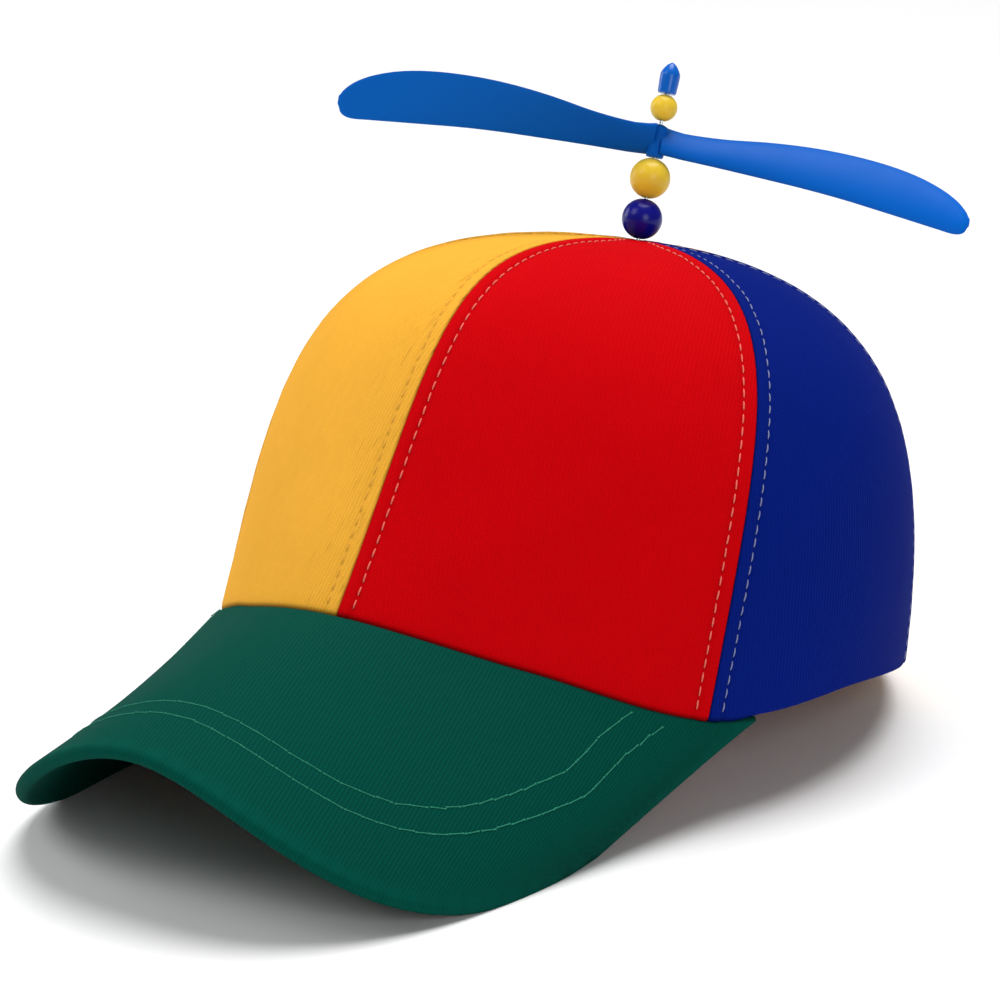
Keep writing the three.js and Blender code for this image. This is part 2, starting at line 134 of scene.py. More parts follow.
HUB_ROWS = (
    {"height": 0.0, "radius": 0.92},
    {"height": 0.04, "radius": 1.0},
    {"height": 0.14, "radius": 1.0},
    {"height": 0.3, "radius": 0.87},
    {"height": 0.5, "radius": 0.83},
    {"height": 0.66, "radius": 0.87},
    {"height": 0.8, "radius": 1.0},
    {"height": 0.89, "radius": 0.95},
    {"height": 0.96, "radius": 0.72},
    {"height": 1.0, "radius": 0.36},
)

TIP_ROWS = (
    {"height": 0.0, "radius": 0.84},
    {"height": 0.03, "radius": 0.92},
    {"height": 0.25, "radius": 0.97},
    {"height": 0.52, "radius": 1.0},
    {"height": 0.64, "radius": 0.97},
    {"height": 0.8, "radius": 0.72},
    {"height": 0.92, "radius": 0.42},
    {"height": 0.98, "radius": 0.17},
)


def linear(code):
    """The linear colour of a hex code."""
    shares = [int(code[i:i + 2], 16) / 255 for i in (1, 3, 5)]
    return tuple(c / 12.92 if c <= 0.04045 else ((c + 0.055) / 1.055) ** 2.4 for c in shares)


def length(name, default, description):
    return FloatProperty(name=name, description=description, default=default, min=0.0,
                         unit="LENGTH", precision=5)


def angle(name, default, description):
    return FloatProperty(name=name, description=description, default=default, precision=4)


def share(name, default, description):
    return FloatProperty(name=name, description=description, default=default, precision=4)


def colour(name, code, description):
    return FloatVectorProperty(name=name, description=description, default=linear(code),
                               subtype="COLOR", min=0.0, max=1.0)


class CapSizes(bpy.types.PropertyGroup):
    """Sizes of the crown, peak and strap."""

    crown_length: length("Crown length", 0.204, "Front to back across the lower edge")
    crown_width: length("Crown width", 0.168, "Side to side across the lower edge")
    crown_height: length("Crown height", 0.104, "Lower edge to apex")
    apex_back: length("Apex set back", 0.0056, "How far the apex lies behind the middle")
    cloth_wall: length("Cloth wall", 0.0016, "Thickness of a panel")
    seam_gap: length("Seam gap", 0.00004, "Gap between two panels")
    hole_radius: length("Hole radius", 0.0017, "Hole for the wire at the apex")
    side_seam_base: angle("Side seam, low", 58, "Turn of the side seam at the lower edge")
    side_seam_top: angle("Side seam, high", 70, "Turn of the side seam at the apex")
    rear_seam_base: angle("Rear seam, low", 121, "Turn of the rear seam at the lower edge")
    opening_width: length("Opening width", 0.072, "Width of the arched opening at the back")
    opening_height: length("Opening height", 0.042, "Height of the arched opening")
    strap_height: length("Strap height", 0.019, "Height of the back strap")
    strap_wall: length("Strap wall", 0.0018, "Thickness of the back strap")
    strap_lap: length("Strap lap", 0.013, "How far the strap runs behind each panel")
    strap_rise: length("Strap rise", 0.0015, "How far the strap stands over the lower edge")
    strap_inset: length("Strap inset", 0.0027, "How far the strap lies under the crown's face")
    peak_reach: length("Peak reach", 0.0712, "Crown's front to the peak's nose")
    peak_half_width: length("Peak half width", 0.0651, "Middle to side of the peak")
    peak_side: length("Peak side", 0.043, "Length of the peak's side edge, front to back")
    peak_wall: length("Peak wall", 0.0036, "Thickness of the peak")
    peak_turn: angle("Peak turn", 66, "Turn at which the peak meets the crown's edge")
    peak_slope: angle("Peak slope", 15.3, "Slope of the peak's middle line")
    peak_arch: length("Peak arch", 0.0461, "Drop of the peak's side below its middle")
    nose_drop: length("Nose drop", 0.0263, "Drop of the nose below the crown's front")
    outline_power: share("Outline power", 2.5, "Roundness of the peak's outline")
    arch_round: share("Arch roundness", 1.05, "Share of the half width that is round")
    lean: angle("Resting lean", 10.964, "Lean of the whole cap as it rests")
    shift_back: length("Place, back", 0.0420624, "Place of the crown's middle, towards the back")
    shift_up: length("Place, up", 0.018488, "Place of the crown's lower ring, upwards")


class SewingSizes(bpy.types.PropertyGroup):
    """Sizes of the stitching and the seams."""

    seam_offset: length("Seam row offset", 0.0037, "Stitch row's distance from a panel seam")
    pitch: length("Stitch pitch", 0.0033, "Length of one stitch and its gap")
    stitch: length("Stitch length", 0.0026, "Length of a stitch that shows")
    thread: length("Thread radius", 0.0002, "Radius of the panels' thread")
    peak_pitch: length("Peak stitch pitch", 0.0044, "Length of one stitch and its knot")
    peak_stitch: length("Peak stitch length", 0.0043, "Length of a stitch on the peak")
    peak_thread: length("Peak thread radius", 0.00014, "Radius of the peak's thread")
    outer_row: length("Outer peak row", 0.0163, "Distance of the outer row from the nose's edge")
    inner_row: length("Inner peak row", 0.0226, "Distance of the inner row from the nose's edge")
    side_closer: length("Rows closer at the side", 0.0035, "How much closer they lie there")
    fold: length("Seam fold", 0.00045, "Radius at which a panel turns into its seam")
    band: length("Seam band", 0.00038, "Height of the doubled cloth beside a seam")
    pull: length("Stitch pull", 0.00022, "Depth to which a row of stitches pulls the cloth")
    sway: length("Cloth sway", 0.0005, "Height of the slight waves in the cloth")
    rib: length("Rib pitch", 0.00105, "Distance between the cloth's ribs")
    peak_rib: length("Peak rib pitch", 0.00097, "Distance between the ribs on the peak")
    peak_grain: angle("Peak grain", 16.5, "Turn of the peak's ribs from front to back")
    rim_calm: length("Smooth rim", 0.004, "Width of the rim in which the peak's ribs fade")
    tuck: length("Panel tuck", 0.0016, "How far a front panel is tucked into the peak's seam")
    dip: length("Peak dip", 0.0009, "How far the peak dips where it meets the crown")


class StackSizes(bpy.types.PropertyGroup):
    """Sizes of the beaded wire and the propeller."""

    lean: angle("Wire lean", 7, "Lean of the wire towards the back")
    wire_radius: length("Wire radius", 0.0005, "Radius of the wire")
    seat: length("Seat gap", 0.0003, "Gap between two pieces on the wire")
    bore_gap: length("Bore gap", 0.00035, "Gap between the wire and a bore")
    bead: length("Bead diameter", 0.0105, "Diameter of the two lower beads")
    small_bead: length("Small bead diameter", 0.007, "Diameter of the bead over the propeller")
    tip: length("Tip diameter", 0.0052, "Diameter of the tip cap")
    tip_length: length("Tip length", 0.0082, "Length of the tip cap")
    wire_grip: length("Wire grip", 0.0045, "How far the wire goes into the tip cap")
    hub: length("Hub diameter", 0.0046, "Diameter of the propeller's hub")
    hub_height: length("Hub height", 0.0086, "Height of the propeller's hub")
    play: length("Hub play", 0.001, "Free wire over the hub")
    radius: length("Propeller radius", 0.083, "Middle to tip of a blade")
    blade: length("Blade width", 0.016, "Width of a blade")
    blade_wall: length("Blade thickness", 0.0018, "Thickness of a blade")
    camber: length("Blade camber", 0.0008, "How far a blade's middle bows up")
    pitch: angle("Blade pitch", 48, "Pitch of the blades at the hub")
    twist: angle("Blade twist", 11, "How much steeper a blade gets towards its tip")
    droop: length("Blade droop", 0.0022, "How far a blade's tip hangs")
    turn: angle("Propeller turn", 33, "Turn of the propeller at rest")


class CapColours(bpy.types.PropertyGroup):
    """Colours of cloth, thread, plastic and floor."""

    red: colour("Red cloth", "#c60008", "Front left and back right panels")
    yellow: colour("Yellow cloth", "#ecab38", "Front right and back left panels")
    blue: colour("Blue cloth", "#041c78", "Side panels and strap")
    green: colour("Green cloth", "#00463b", "Peak")
    thread_red: colour("Thread on red", "#f0786a", "Stitching on the red panels")
    thread_blue: colour("Thread on blue", "#8a90b8", "Stitching on the blue panels")
    thread_yellow: colour("Thread on yellow", "#e6ac42", "Stitching on the yellow panels")
    thread_green: colour("Thread on green", "#2b8269", "Stitching on the peak")
    propeller: colour("Propeller plastic", "#005fc2", "Propeller and tip cap")
    navy: colour("Navy bead", "#101088", "Lowest bead")
    bead: colour("Yellow bead", "#ecc836", "Second bead and small bead")
    steel: colour("Steel", "#c3c5c8", "Wire")
    floor: colour("Floor", "#f4f4f4", "Floor")


def mix(a, b, t):
    return a + (b - a) * t


def unit(vectors):
    return vectors / np.linalg.norm(vectors, axis=-1, keepdims=True)


def ease(t):
    """A smooth step from 0 to 1."""
    t = np.clip(t, 0, 1)
    return t * t * (3 - 2 * t)


def smooth_value(rows, place, column, at):
    """A smooth value between a table's rows, level at both ends."""
    places = np.array([row[place] for row in rows], float)
    values = np.array([row[column] for row in rows], float)
    slopes = np.zeros_like(values)
    slopes[1:-1] = (values[2:] - values[:-2]) / (places[2:] - places[:-2])
    at = np.clip(at, places[0], places[-1])
    i = np.clip(np.searchsorted(places, at) - 1, 0, len(places) - 2)
    span = places[i + 1] - places[i]
    t = (at - places[i]) / span
    pull = (1 - t) * slopes[i] - t * slopes[i + 1]
    return mix(values[i], values[i + 1], ease(t)) + t * (1 - t) * span * pull


def last_where(low, high, holds):
    """The values between two limits up to which a test still holds."""
    for _ in range(26):
        middle = (low + high) / 2
        yes = holds(middle)
        low, high = np.where(yes, middle, low), np.where(yes, high, middle)
    return (low + high) / 2


def run_lengths(steps):
    """Lengths along a line up to each of its points, from the lengths of its steps."""
    return np.concatenate([[0], np.cumsum(steps)])


def rounded(distance, radius):
    """Drop of a rounded edge as a share of its radius, from 1 at the edge to 0 beyond it."""
    return 1 - np.sqrt(1 - np.clip(1 - distance / radius, 0, 1) ** 2)


def narrowing(width):
    """Share to which a seam's sizes shrink where a panel gets narrow towards the apex."""
    return np.clip(width / NARROW_PANEL, 0.12, 1)


class CapShape:
    """The cap's surfaces from its sizes. Turn is in degrees from the front, climb goes from 0 at
    the crown's lower edge to 1 at the apex, across from -1 to 1 over the peak, out from 0 at the
    crown to 1 at the peak's edge."""

    def __init__(self, sizes):
        self.sizes = sizes
        self.seams = {
            "front": (0.0, 0.0),
            "side": (sizes.side_seam_base, sizes.side_seam_top),
            "rear": (sizes.rear_seam_base, 180.0 - sizes.side_seam_top),
            "back": (180.0, 180.0),
        }
        back_reach = sizes.crown_length / 2 * BASE_RING[-1]["reach"]
        self.opening_turn = math.degrees(sizes.opening_width / 2 / back_reach)
        self.strap_turn = math.degrees((sizes.opening_width / 2 + sizes.strap_lap) / back_reach)
        front = self.crown_point(0, 0)
        self.nose_y = front[1] - sizes.peak_reach
        self.nose_z = front[2] - sizes.nose_drop
        self.side_y = self.crown_point(sizes.peak_turn, 0)[1] - sizes.peak_side

    def edge_height(self, turn):
        folded = np.abs((turn + 180) % 360 - 180)
        return self.sizes.crown_height * smooth_value(BASE_RING, "turn", "rise", folded)

    def crown_point(self, turn, climb):
        turn, climb = np.broadcast_arrays(np.asarray(turn, float), np.asarray(climb, float))
        around = np.radians(turn)
        shares = {
            "front": np.maximum(np.cos(around), 0) ** 2,
            "side": np.sin(around) ** 2,
            "back": np.maximum(-np.cos(around), 0) ** 2,
        }
        line = {
            key: sum(RISING_LINE[side][key] * part for side, part in shares.items())
            for key in ("lean", "shoulder", "flat")
        }
        folded = np.abs((turn + 180) % 360 - 180)
        reach = smooth_value(BASE_RING, "turn", "reach", folded)
        edge = self.edge_height(turn)
        near_base = 3 * (1 - climb) ** 2 * climb
        near_top = 3 * (1 - climb) * climb ** 2
        spread = (1 - climb) ** 3 + near_base * (1 - line["lean"]) + near_top * line["flat"]
        lift = near_base * line["shoulder"] + near_top + climb ** 3
        sizes = self.sizes
        x = sizes.crown_width / 2 * reach * np.sin(around) * spread
        y = -sizes.crown_length / 2 * reach * np.cos(around) * spread
        y = y + sizes.apex_back * (1 - spread)
        return np.stack([x, y, edge + (sizes.crown_height - edge) * lift], -1)

    def crown_frame(self, turn, climb):
        """Direction up, outward normal, and metres to a degree of turn."""
        turn_step, climb_step = 0.05, 0.0005
        low = np.asarray(climb, float) - climb_step
        around = self.crown_point(turn + turn_step, climb)
        around = around - self.crown_point(turn - turn_step, climb)
        up = self.crown_point(turn, climb + climb_step) - self.crown_point(turn, low)
        per_degree = np.linalg.norm(around, axis=-1) / (2 * turn_step)
        return unit(up), unit(np.cross(around, up)), per_degree

    def climb_at_height(self, turn, height):
        top = self.edge_height(turn) + height
        zeros = np.zeros_like(top)
        return last_where(zeros - 0.03, zeros + 1,
                          lambda c: self.crown_point(turn, c)[..., 2] < top)

    def over_peak(self, turn):
        """1 where the crown meets the peak, easing to 0 just before the peak's corner."""
        return ease((self.sizes.peak_turn + 1 - turn) / 5)

    def climb_at_radius(self, turn, radius):
        def outside(climb):
            point = self.crown_point(turn, climb)
            return np.hypot(point[..., 0], point[..., 1] - self.sizes.apex_back) > radius
        return last_where(np.full_like(turn, 0.5), np.ones_like(turn), outside)

    def ring_length(self, start, turn, climb, steps=8):
        """Signed length along the crown from one turn to another at a climb."""
        parts = [self.crown_point(mix(start, turn, k / steps), climb) for k in range(steps + 1)]
        runs = [np.linalg.norm(b - a, axis=-1) for a, b in zip(parts, parts[1:])]
        return sum(runs) * np.sign(turn - start)

    def peak_outer(self, across):
        sizes = self.sizes
        swing = np.pi / 2 * np.abs(across)
        power = 2 / sizes.outline_power
        x = sizes.peak_half_width * np.sin(swing) ** power
        y = mix(self.side_y, self.nose_y, np.maximum(np.cos(swing), 0) ** power)
        fall = lambda part: np.hypot(1, part / sizes.arch_round) - 1
        z = self.nose_z - sizes.peak_arch * fall(x / sizes.peak_half_width) / fall(1)
        z = z + (y - self.nose_y) * math.tan(math.radians(sizes.peak_slope))
        return np.stack([np.sign(across) * x, y, z], -1)

    def peak_inner(self, across, depth=0.0):
        turn = self.sizes.peak_turn * across
        up, normal, _ = self.crown_frame(turn, 0.0)
        return self.crown_point(turn, 0.0) - up * 0.3 * MM - normal * depth

    def peak_point(self, across, out):
        across = np.asarray(across, float)
        start, end = self.peak_inner(across), self.peak_outer(across)
        return mix(start, end, np.asarray(out, float)[..., None])

    def peak_normal(self, across, out):
        step = 0.004
        inside = np.clip(across, -1 + step, 1 - step)
        run = self.peak_point(inside + step, out) - self.peak_point(inside - step, out)
        ones = np.ones_like(inside)
        rule = self.peak_point(inside, ones) - self.peak_point(inside, 0 * ones)
        return unit(np.cross(rule, run))

    def peak_lengths(self, points, normal):
        """Lengths over a grid of the peak's points: across from its middle line, and out along
        it."""
        ahead = unit(np.stack([0 * normal[..., 0], -normal[..., 2], normal[..., 1]], -1))
        aside = np.cross(normal, ahead)
        steps = np.diff(points, axis=0)
        middle = points.shape[0] // 2
        start = np.linalg.norm(np.diff(points[middle], axis=0), axis=-1)
        lengths = []
        for way, first in ((aside, np.zeros(points.shape[1])),
                           (ahead, run_lengths(start))):
            parts = (steps * (way[1:] + way[:-1]) / 2).sum(-1)
            total = np.concatenate([np.zeros((1, points.shape[1])), np.cumsum(parts, axis=0)])
            lengths.append(total - total[middle] + first)
        return lengths

    def placement(self):
        """Where the cap's own frame stands in the row's frame."""
        sizes = self.sizes
        move = Matrix.Translation((0, sizes.shift_back, sizes.shift_up))
        return move @ Matrix.Rotation(-math.radians(sizes.lean), 4, "X")

    def placed(self, points):
        matrix = np.array(self.placement())
        return points @ matrix[:3, :3].T + matrix[:3, 3]


class StackShape:
    """Heights along the beaded wire, from the apex."""

    def __init__(self, sizes):
        self.sizes = sizes
        self.bore = sizes.wire_radius + sizes.bore_gap
        bead_pole, small_pole = self.pole(sizes.bead), self.pole(sizes.small_bead)
        self.navy = sizes.seat + bead_pole
        self.yellow = self.navy + 2 * bead_pole + sizes.seat
        self.hub = self.yellow + bead_pole + sizes.seat
        self.small = self.hub + sizes.hub_height + sizes.play + small_pole
        self.tip = self.small + small_pole + sizes.seat
        self.wire_top = self.tip + sizes.wire_grip

    def pole(self, diameter):
        return math.sqrt((diameter / 2) ** 2 - self.bore ** 2)

    def placement(self, cap):
        lift = Matrix.Translation((0, cap.sizes.apex_back, cap.sizes.crown_height))
        return cap.placement() @ lift @ Matrix.Rotation(-math.radians(self.sizes.lean), 4, "X")


class Signal:
    """An output of a finish's nodes, with arithmetic that adds Math nodes."""

    def __init__(self, finish, socket):
        self.finish = finish
        self.socket = socket

    def math(self, operation, *values, clamp=False):
        settings = {"operation": operation, "use_clamp": clamp}
        return self.finish.node("ShaderNodeMath", settings, dict(enumerate(values)))

    def __add__(self, other):
        return self.math("ADD", self, other)

    def __radd__(self, other):
        return self.math("ADD", other, self)

    def __sub__(self, other):
        return self.math("SUBTRACT", self, other)

    def __rsub__(self, other):
        return self.math("SUBTRACT", other, self)

    def __mul__(self, other):
        return self.math("MULTIPLY", self, other)

    def __rmul__(self, other):
        return self.math("MULTIPLY", other, self)

    def __truediv__(self, other):
        return self.math("DIVIDE", self, other)

    def __abs__(self):
        return self.math("ABSOLUTE", self)

    def clamped(self):
        return self.math("MULTIPLY", self, 1.0, clamp=True)

    def wave(self):
        """A wave from 0 to 1 that repeats each time the value grows by 1."""
        return self.math("SINE", self * math.tau) * 0.5 + 0.5

    def near(self, reach):
        """1 where the value is 0, and 0 where it is further off than a reach."""
        return (1.0 - abs(self) / reach).clamped()

    def cycle(self):
        """Signed distance from the nearest whole number."""
        return self.math("FRACT", self + 0.5) - 0.5


class Finish:
    """A material built node by node."""

    def __init__(self, name):
        self.material = bpy.data.materials.new(name)
        self.material.use_nodes = True
        self.tree = self.material.node_tree
        self.tree.nodes.clear()

    def node(self, kind, settings=None, inputs=None, output=0):
        node = self.tree.nodes.new(kind)
        for key, value in (settings or {}).items():
            setattr(node, key, value)
        for key, value in (inputs or {}).items():
            if isinstance(value, Signal):
                self.tree.links.new(value.socket, node.inputs[key])
            else:
                node.inputs[key].default_value = value
        return Signal(self, node.outputs[output])

    def split(self, vector):
        parts = self.node("ShaderNodeSeparateXYZ", {}, {0: vector}).socket.node.outputs
        return [Signal(self, part) for part in parts]

    def attribute(self, name):
        kind = {"attribute_type": "GEOMETRY", "attribute_name": name}
        return self.node("ShaderNodeAttribute", kind, {}, "Vector")

    def place(self):
        return self.node("ShaderNodeTexCoord", {}, {}, "Object")

    def noise(self, grain, detail=2.0, stretch=(1, 1, 1)):
        """Noise from 0 to 1 whose grain is a length."""
        scaled = self.node("ShaderNodeMapping", {}, {"Vector": self.place(), "Scale": stretch})
        inputs = {"Vector": scaled, "Scale": 1 / grain, "Detail": detail, "Roughness": 0.5}
        return self.node("ShaderNodeTexNoise", {}, inputs)

    def shade(self, tint, amount):
        """A colour made darker or lighter by a number round 1."""
        grey = self.node("ShaderNodeCombineColor", {}, {0: amount, 1: amount, 2: amount})
        settings = {"data_type": "RGBA", "blend_type": "MULTIPLY"}
        return self.node("ShaderNodeMix", settings, {0: 1.0, 6: (*tint[:3], 1.0), 7: grey}, 2)

    def bump(self, height, depth):
        return self.node("ShaderNodeBump", {}, {
            "Strength": 1.0, "Distance": depth, "Height": height})

    def surface(self, inputs):
        shader = self.node("ShaderNodeBsdfPrincipled", {}, inputs)
        output = self.tree.nodes.new("ShaderNodeOutputMaterial")
        self.tree.links.new(shader.socket, output.inputs["Surface"])
        return self.material


def twill(name, tint, rib, relief, contrast, calm=0.0, creases=0.0):
    """Ribbed cotton twill. It reads the cloth's own measures: cloth holds the place across and
    along the ribs and the distance from the hem, rows the distance from two stitch rows and from
    the nearest seam, and run the place along the two rows and the share to which the hem is
    tucked into a seam. The ribs fade within a calm width of the hem. Shade is painted into the
    colour along the seams (wider and darker with a calm width, as where the peak meets the
    crown), in the stitch holes and pulled rows, in the creases and along a tucked hem."""
    sewing = bpy.context.scene.cap_sewing
    finish = Finish(name)
    across, along, hem = finish.split(finish.attribute("cloth"))
    first, last, seam = finish.split(finish.attribute("rows"))
    first_run, last_run, tucked = finish.split(finish.attribute("run"))
    wander = finish.noise(0.006) - 0.5
    ribs = (across / rib + wander * 0.5).wave()
    floats = (along / (rib * 0.62) + across / rib * 0.5 + wander).wave()
    fuzz = finish.noise(0.0003, 3.0)
    patches = finish.noise(0.035, 3.0)
    slubs = finish.noise(0.0022, 2.0, (1, 1, 0.25))
    hole_wide, hole_long, pulled_wide, shadow_wide = 0.62 * MM, 0.75 * MM, 1.6 * MM, 1.8 * MM
    # groove_shade sets the painted shade along a seam: narrow for the panels, wide and near black
    # where the peak meets the crown
    groove_wide, groove_shade = (1.3 * MM, 3.2) if calm else (0.6 * MM, 1.0)
    crease_wide, crease_long, crease_reach = 1.6 * MM, 9 * MM, 20 * MM
    # Stitch holes and pulled rows: dents in the bump, and painted shade in the colour
    holes = 0.0
    for distance, run in ((first, first_run), (last, last_run)):
        spot = (run / sewing.pitch).cycle() * sewing.pitch
        holes = holes + distance.near(hole_wide) * spot.near(hole_long)
    pulled = first.near(pulled_wide) + last.near(pulled_wide)
    groove = seam.near(groove_wide) * groove_shade
    ribbed = (hem / calm).clamped() if calm else 1.0
    tone = 1.0 - contrast * ribbed * (1.0 - ribs) * (0.65 + 0.35 * floats)
    tone = tone * (0.93 + 0.14 * fuzz) * (0.93 + 0.14 * patches) * (0.96 + 0.08 * slubs)
    # Painted shade: the colour is darkened in the seam groove, the stitch holes and the pulled
    # stitch rows
    tone = tone * (1.0 - 0.3 * groove) * (1.0 - 0.42 * holes) * (1.0 - 0.06 * pulled)
    height = (ribs * 0.55 + floats * 0.2) * ribbed + fuzz * 0.3 + slubs * 0.25 - holes * 1.6
    height = height - pulled * 0.6 - groove * 0.8
    # Painted shade along the hem where a front panel is tucked into the peak's seam
    tone = tone * (1.0 - tucked * hem.near(shadow_wide))
    if creases:
        lines = finish.node("ShaderNodeCombineXYZ", {},
                            {0: across / crease_wide, 1: along / crease_long})
        marks = finish.node("ShaderNodeTexNoise", {}, {"Vector": lines, "Scale": 1.0})
        marks = ((marks - 0.58) * 7.0).clamped() * seam.near(crease_reach)
        # Painted shade in the creases
        tone = tone * (1.0 - creases * marks)
        height = height - marks
    return finish.surface({
        "Base Color": finish.shade(tint, tone),
        "Roughness": 0.9 - 0.1 * fuzz,
        "Normal": finish.bump(height, relief),
        "Specular IOR Level": 0.03,
    })


def thread(name, tint):
    """Twisted sewing thread with a little fluff."""
    finish = Finish(name)
    run, _, _ = finish.split(finish.attribute("run"))
    twist = (run / 0.00042).wave()
    fluff = finish.noise(0.00025, 2.0)
    tone = (0.78 + 0.3 * twist) * (0.86 + 0.26 * fluff)
    return finish.surface({
        "Base Color": finish.shade(tint, tone),
        "Roughness": 0.6 + 0.2 * fluff,
        "Normal": finish.bump(twist + fluff * 0.5, 0.00005),
        "Specular IOR Level": 0.08,
    })


def moulded(name, tint, gloss, coat, mottle, shine=0.25, hub=None, reach=1.0):
    """Injection-moulded plastic with faint flow marks. Round a hub its colour is darkened as
    painted shade, which fades out at the reach.
    """
    finish = Finish(name)
    flow = finish.noise(0.012, 2.0, (0.35, 1, 1))
    grain = finish.noise(0.0006, 2.0)
    scuffs = finish.noise(0.004, 3.0, (1, 0.2, 1))
    tone = 1.0 - mottle + 2 * mottle * flow + 0.03 * (grain - 0.5)
    if hub:
        from_hub = finish.node("ShaderNodeVectorMath", {"operation": "DISTANCE"},
                               {0: finish.place(), 1: hub}, "Value")
        # Painted shade: darker round the hub, full tone from the reach outwards
        tone = tone * (0.82 + 0.22 * (from_hub / reach).clamped())
    return finish.surface({
        "Base Color": finish.shade(tint, tone),
        "Roughness": gloss + 0.1 * (scuffs - 0.5) + 0.05 * (grain - 0.5),
        "Normal": finish.bump(flow * 0.6 + grain * 0.06 + scuffs * 0.1, 0.00012),
        "Specular IOR Level": shine,
        "Coat Weight": coat,
        "Coat Roughness": 0.12,
    })


def steel(name, tint):
    """Drawn steel wire."""
    finish = Finish(name)
    drawn = finish.noise(0.0002, 2.0, (1, 1, 0.05))
    return finish.surface({
        "Base Color": finish.shade(tint, 0.85 + 0.2 * drawn),
        "Metallic": 1.0,
        "Roughness": 0.22 + 0.12 * drawn,
        "Normal": finish.bump(drawn, 0.00001),
    })


def pale_floor(name, tint):
    finish = Finish(name)
    cloud = finish.noise(0.6, 2.0)
    return finish.surface({
        "Base Color": finish.shade(tint, 0.99 + 0.02 * cloud),
        "Roughness": 0.5,
        "Specular IOR Level": 0.3,
    })


def only(piece):
    """Selects one piece and makes it the active one."""
    bpy.ops.object.select_all(action="DESELECT")
    piece.select_set(True)
    bpy.context.view_layer.objects.active = piece


def begin():
    if bpy.context.object and bpy.context.object.mode != "OBJECT":
        bpy.ops.object.mode_set(mode="OBJECT")
    bpy.ops.object.select_all(action="DESELECT")


def modify(piece, kind, **settings):
    """Adds a modifier and applies it."""
    only(piece)
    bpy.ops.object.modifier_add(type=kind)
    added = piece.modifiers[-1]
    for key, value in settings.items():
        setattr(added, key, value)
    bpy.ops.object.modifier_apply(modifier=added.name)


def face_outwards(piece):
    """Turns all of a piece's faces outwards."""
    only(piece)
    bpy.ops.object.mode_set(mode="EDIT")
    bpy.ops.mesh.select_all(action="SELECT")
    bpy.ops.mesh.normals_make_consistent(inside=False)
    bpy.ops.object.mode_set(mode="OBJECT")


def smooth(piece, limit):
    only(piece)
    bpy.ops.object.shade_smooth_by_angle(angle=math.radians(limit))


def dress(piece, material, body="root", nodes=()):
    """Gives a finished piece its material, its body and the nodes that it stands for."""
    piece.data.materials.clear()
    piece.data.materials.append(material)
    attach(piece, body)
    if nodes:
        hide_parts(*nodes)
    return piece


def set_measures(piece, measures):
    """Keeps named measures on a piece's vertices, three numbers each."""
    for name, values in measures.items():
        layer = piece.data.attributes.new(name, "FLOAT_VECTOR", "POINT")
        layer.data.foreach_set("vector", np.asarray(values, np.float32).ravel())


def cloth_grid(name, points, measures):
    """A sheet: a grid primitive whose vertices are moved to a grid of points."""
    columns, rows = points.shape[:2]
    begin()
    bpy.ops.mesh.primitive_grid_add(x_subdivisions=columns - 1, y_subdivisions=rows - 1, size=1)
    piece = bpy.context.object
    piece.name = piece.data.name = name
    count = len(piece.data.vertices)
    flat = np.empty(count * 3, np.float32)
    piece.data.vertices.foreach_get("co", flat)
    flat = flat.reshape(-1, 3)
    i = np.rint((flat[:, 0] + 0.5) * (columns - 1)).astype(int)
    j = np.rint((flat[:, 1] + 0.5) * (rows - 1)).astype(int)
    piece.data.vertices.foreach_set("co", points[i, j].astype(np.float32).ravel())
    set_measures(piece, {key: values[i, j] for key, values in measures.items()})
    piece.data.update()
    return piece


def cloth_shell(name, outer, inner, measures):
    """A closed sheet between two grids of points."""
    grid = np.arange(outer[..., 0].size).reshape(outer.shape[:2])
    quads = np.stack([grid[:-1, :-1], grid[1:, :-1], grid[1:, 1:], grid[:-1, 1:]], -1)
    quads = quads.reshape(-1, 4)
    loop = np.concatenate([grid[:, 0], grid[-1, 1:], grid[-2::-1, -1], grid[0, -2:0:-1]])
    ahead = np.roll(loop, -1)
    sides = np.stack([ahead, loop, loop + grid.size, ahead + grid.size], -1)
    faces = np.concatenate([quads, quads[:, ::-1] + grid.size, sides])
    mesh = bpy.data.meshes.new(name)
    points = np.concatenate([outer.reshape(-1, 3), inner.reshape(-1, 3)])
    mesh.from_pydata(points.tolist(), [], faces.tolist())
    piece = bpy.data.objects.new(name, mesh)
    bpy.context.scene.collection.objects.link(piece)
    set_measures(piece, {key: np.concatenate([values.reshape(-1, 3)] * 2)
                         for key, values in measures.items()})
    face_outwards(piece)
    return piece


def copies(name, template, matrices, runs):
    """One piece made of placed copies of a template, each with its place along its row."""
    count = len(template.data.vertices)
    base = np.empty(count * 3, np.float32)
    template.data.vertices.foreach_get("co", base)
    base = np.c_[base.reshape(-1, 3), np.ones(count)]
    faces = [tuple(face.vertices) for face in template.data.polygons]
    places = np.concatenate([base @ np.array(m)[:3].T for m in matrices])
    all_faces = [
        tuple(v + k * count for v in face) for k in range(len(matrices)) for face in faces
    ]
    mesh = bpy.data.meshes.new(name)
    mesh.from_pydata(places.tolist(), [], all_faces)
    piece = bpy.data.objects.new(name, mesh)
    bpy.context.scene.collection.objects.link(piece)
    along = np.concatenate([base[:, 0] + run for run in runs])
    set_measures(piece, {"run": np.c_[along, np.zeros((len(along), 2))]})
    smooth(piece, 80)
    return piece


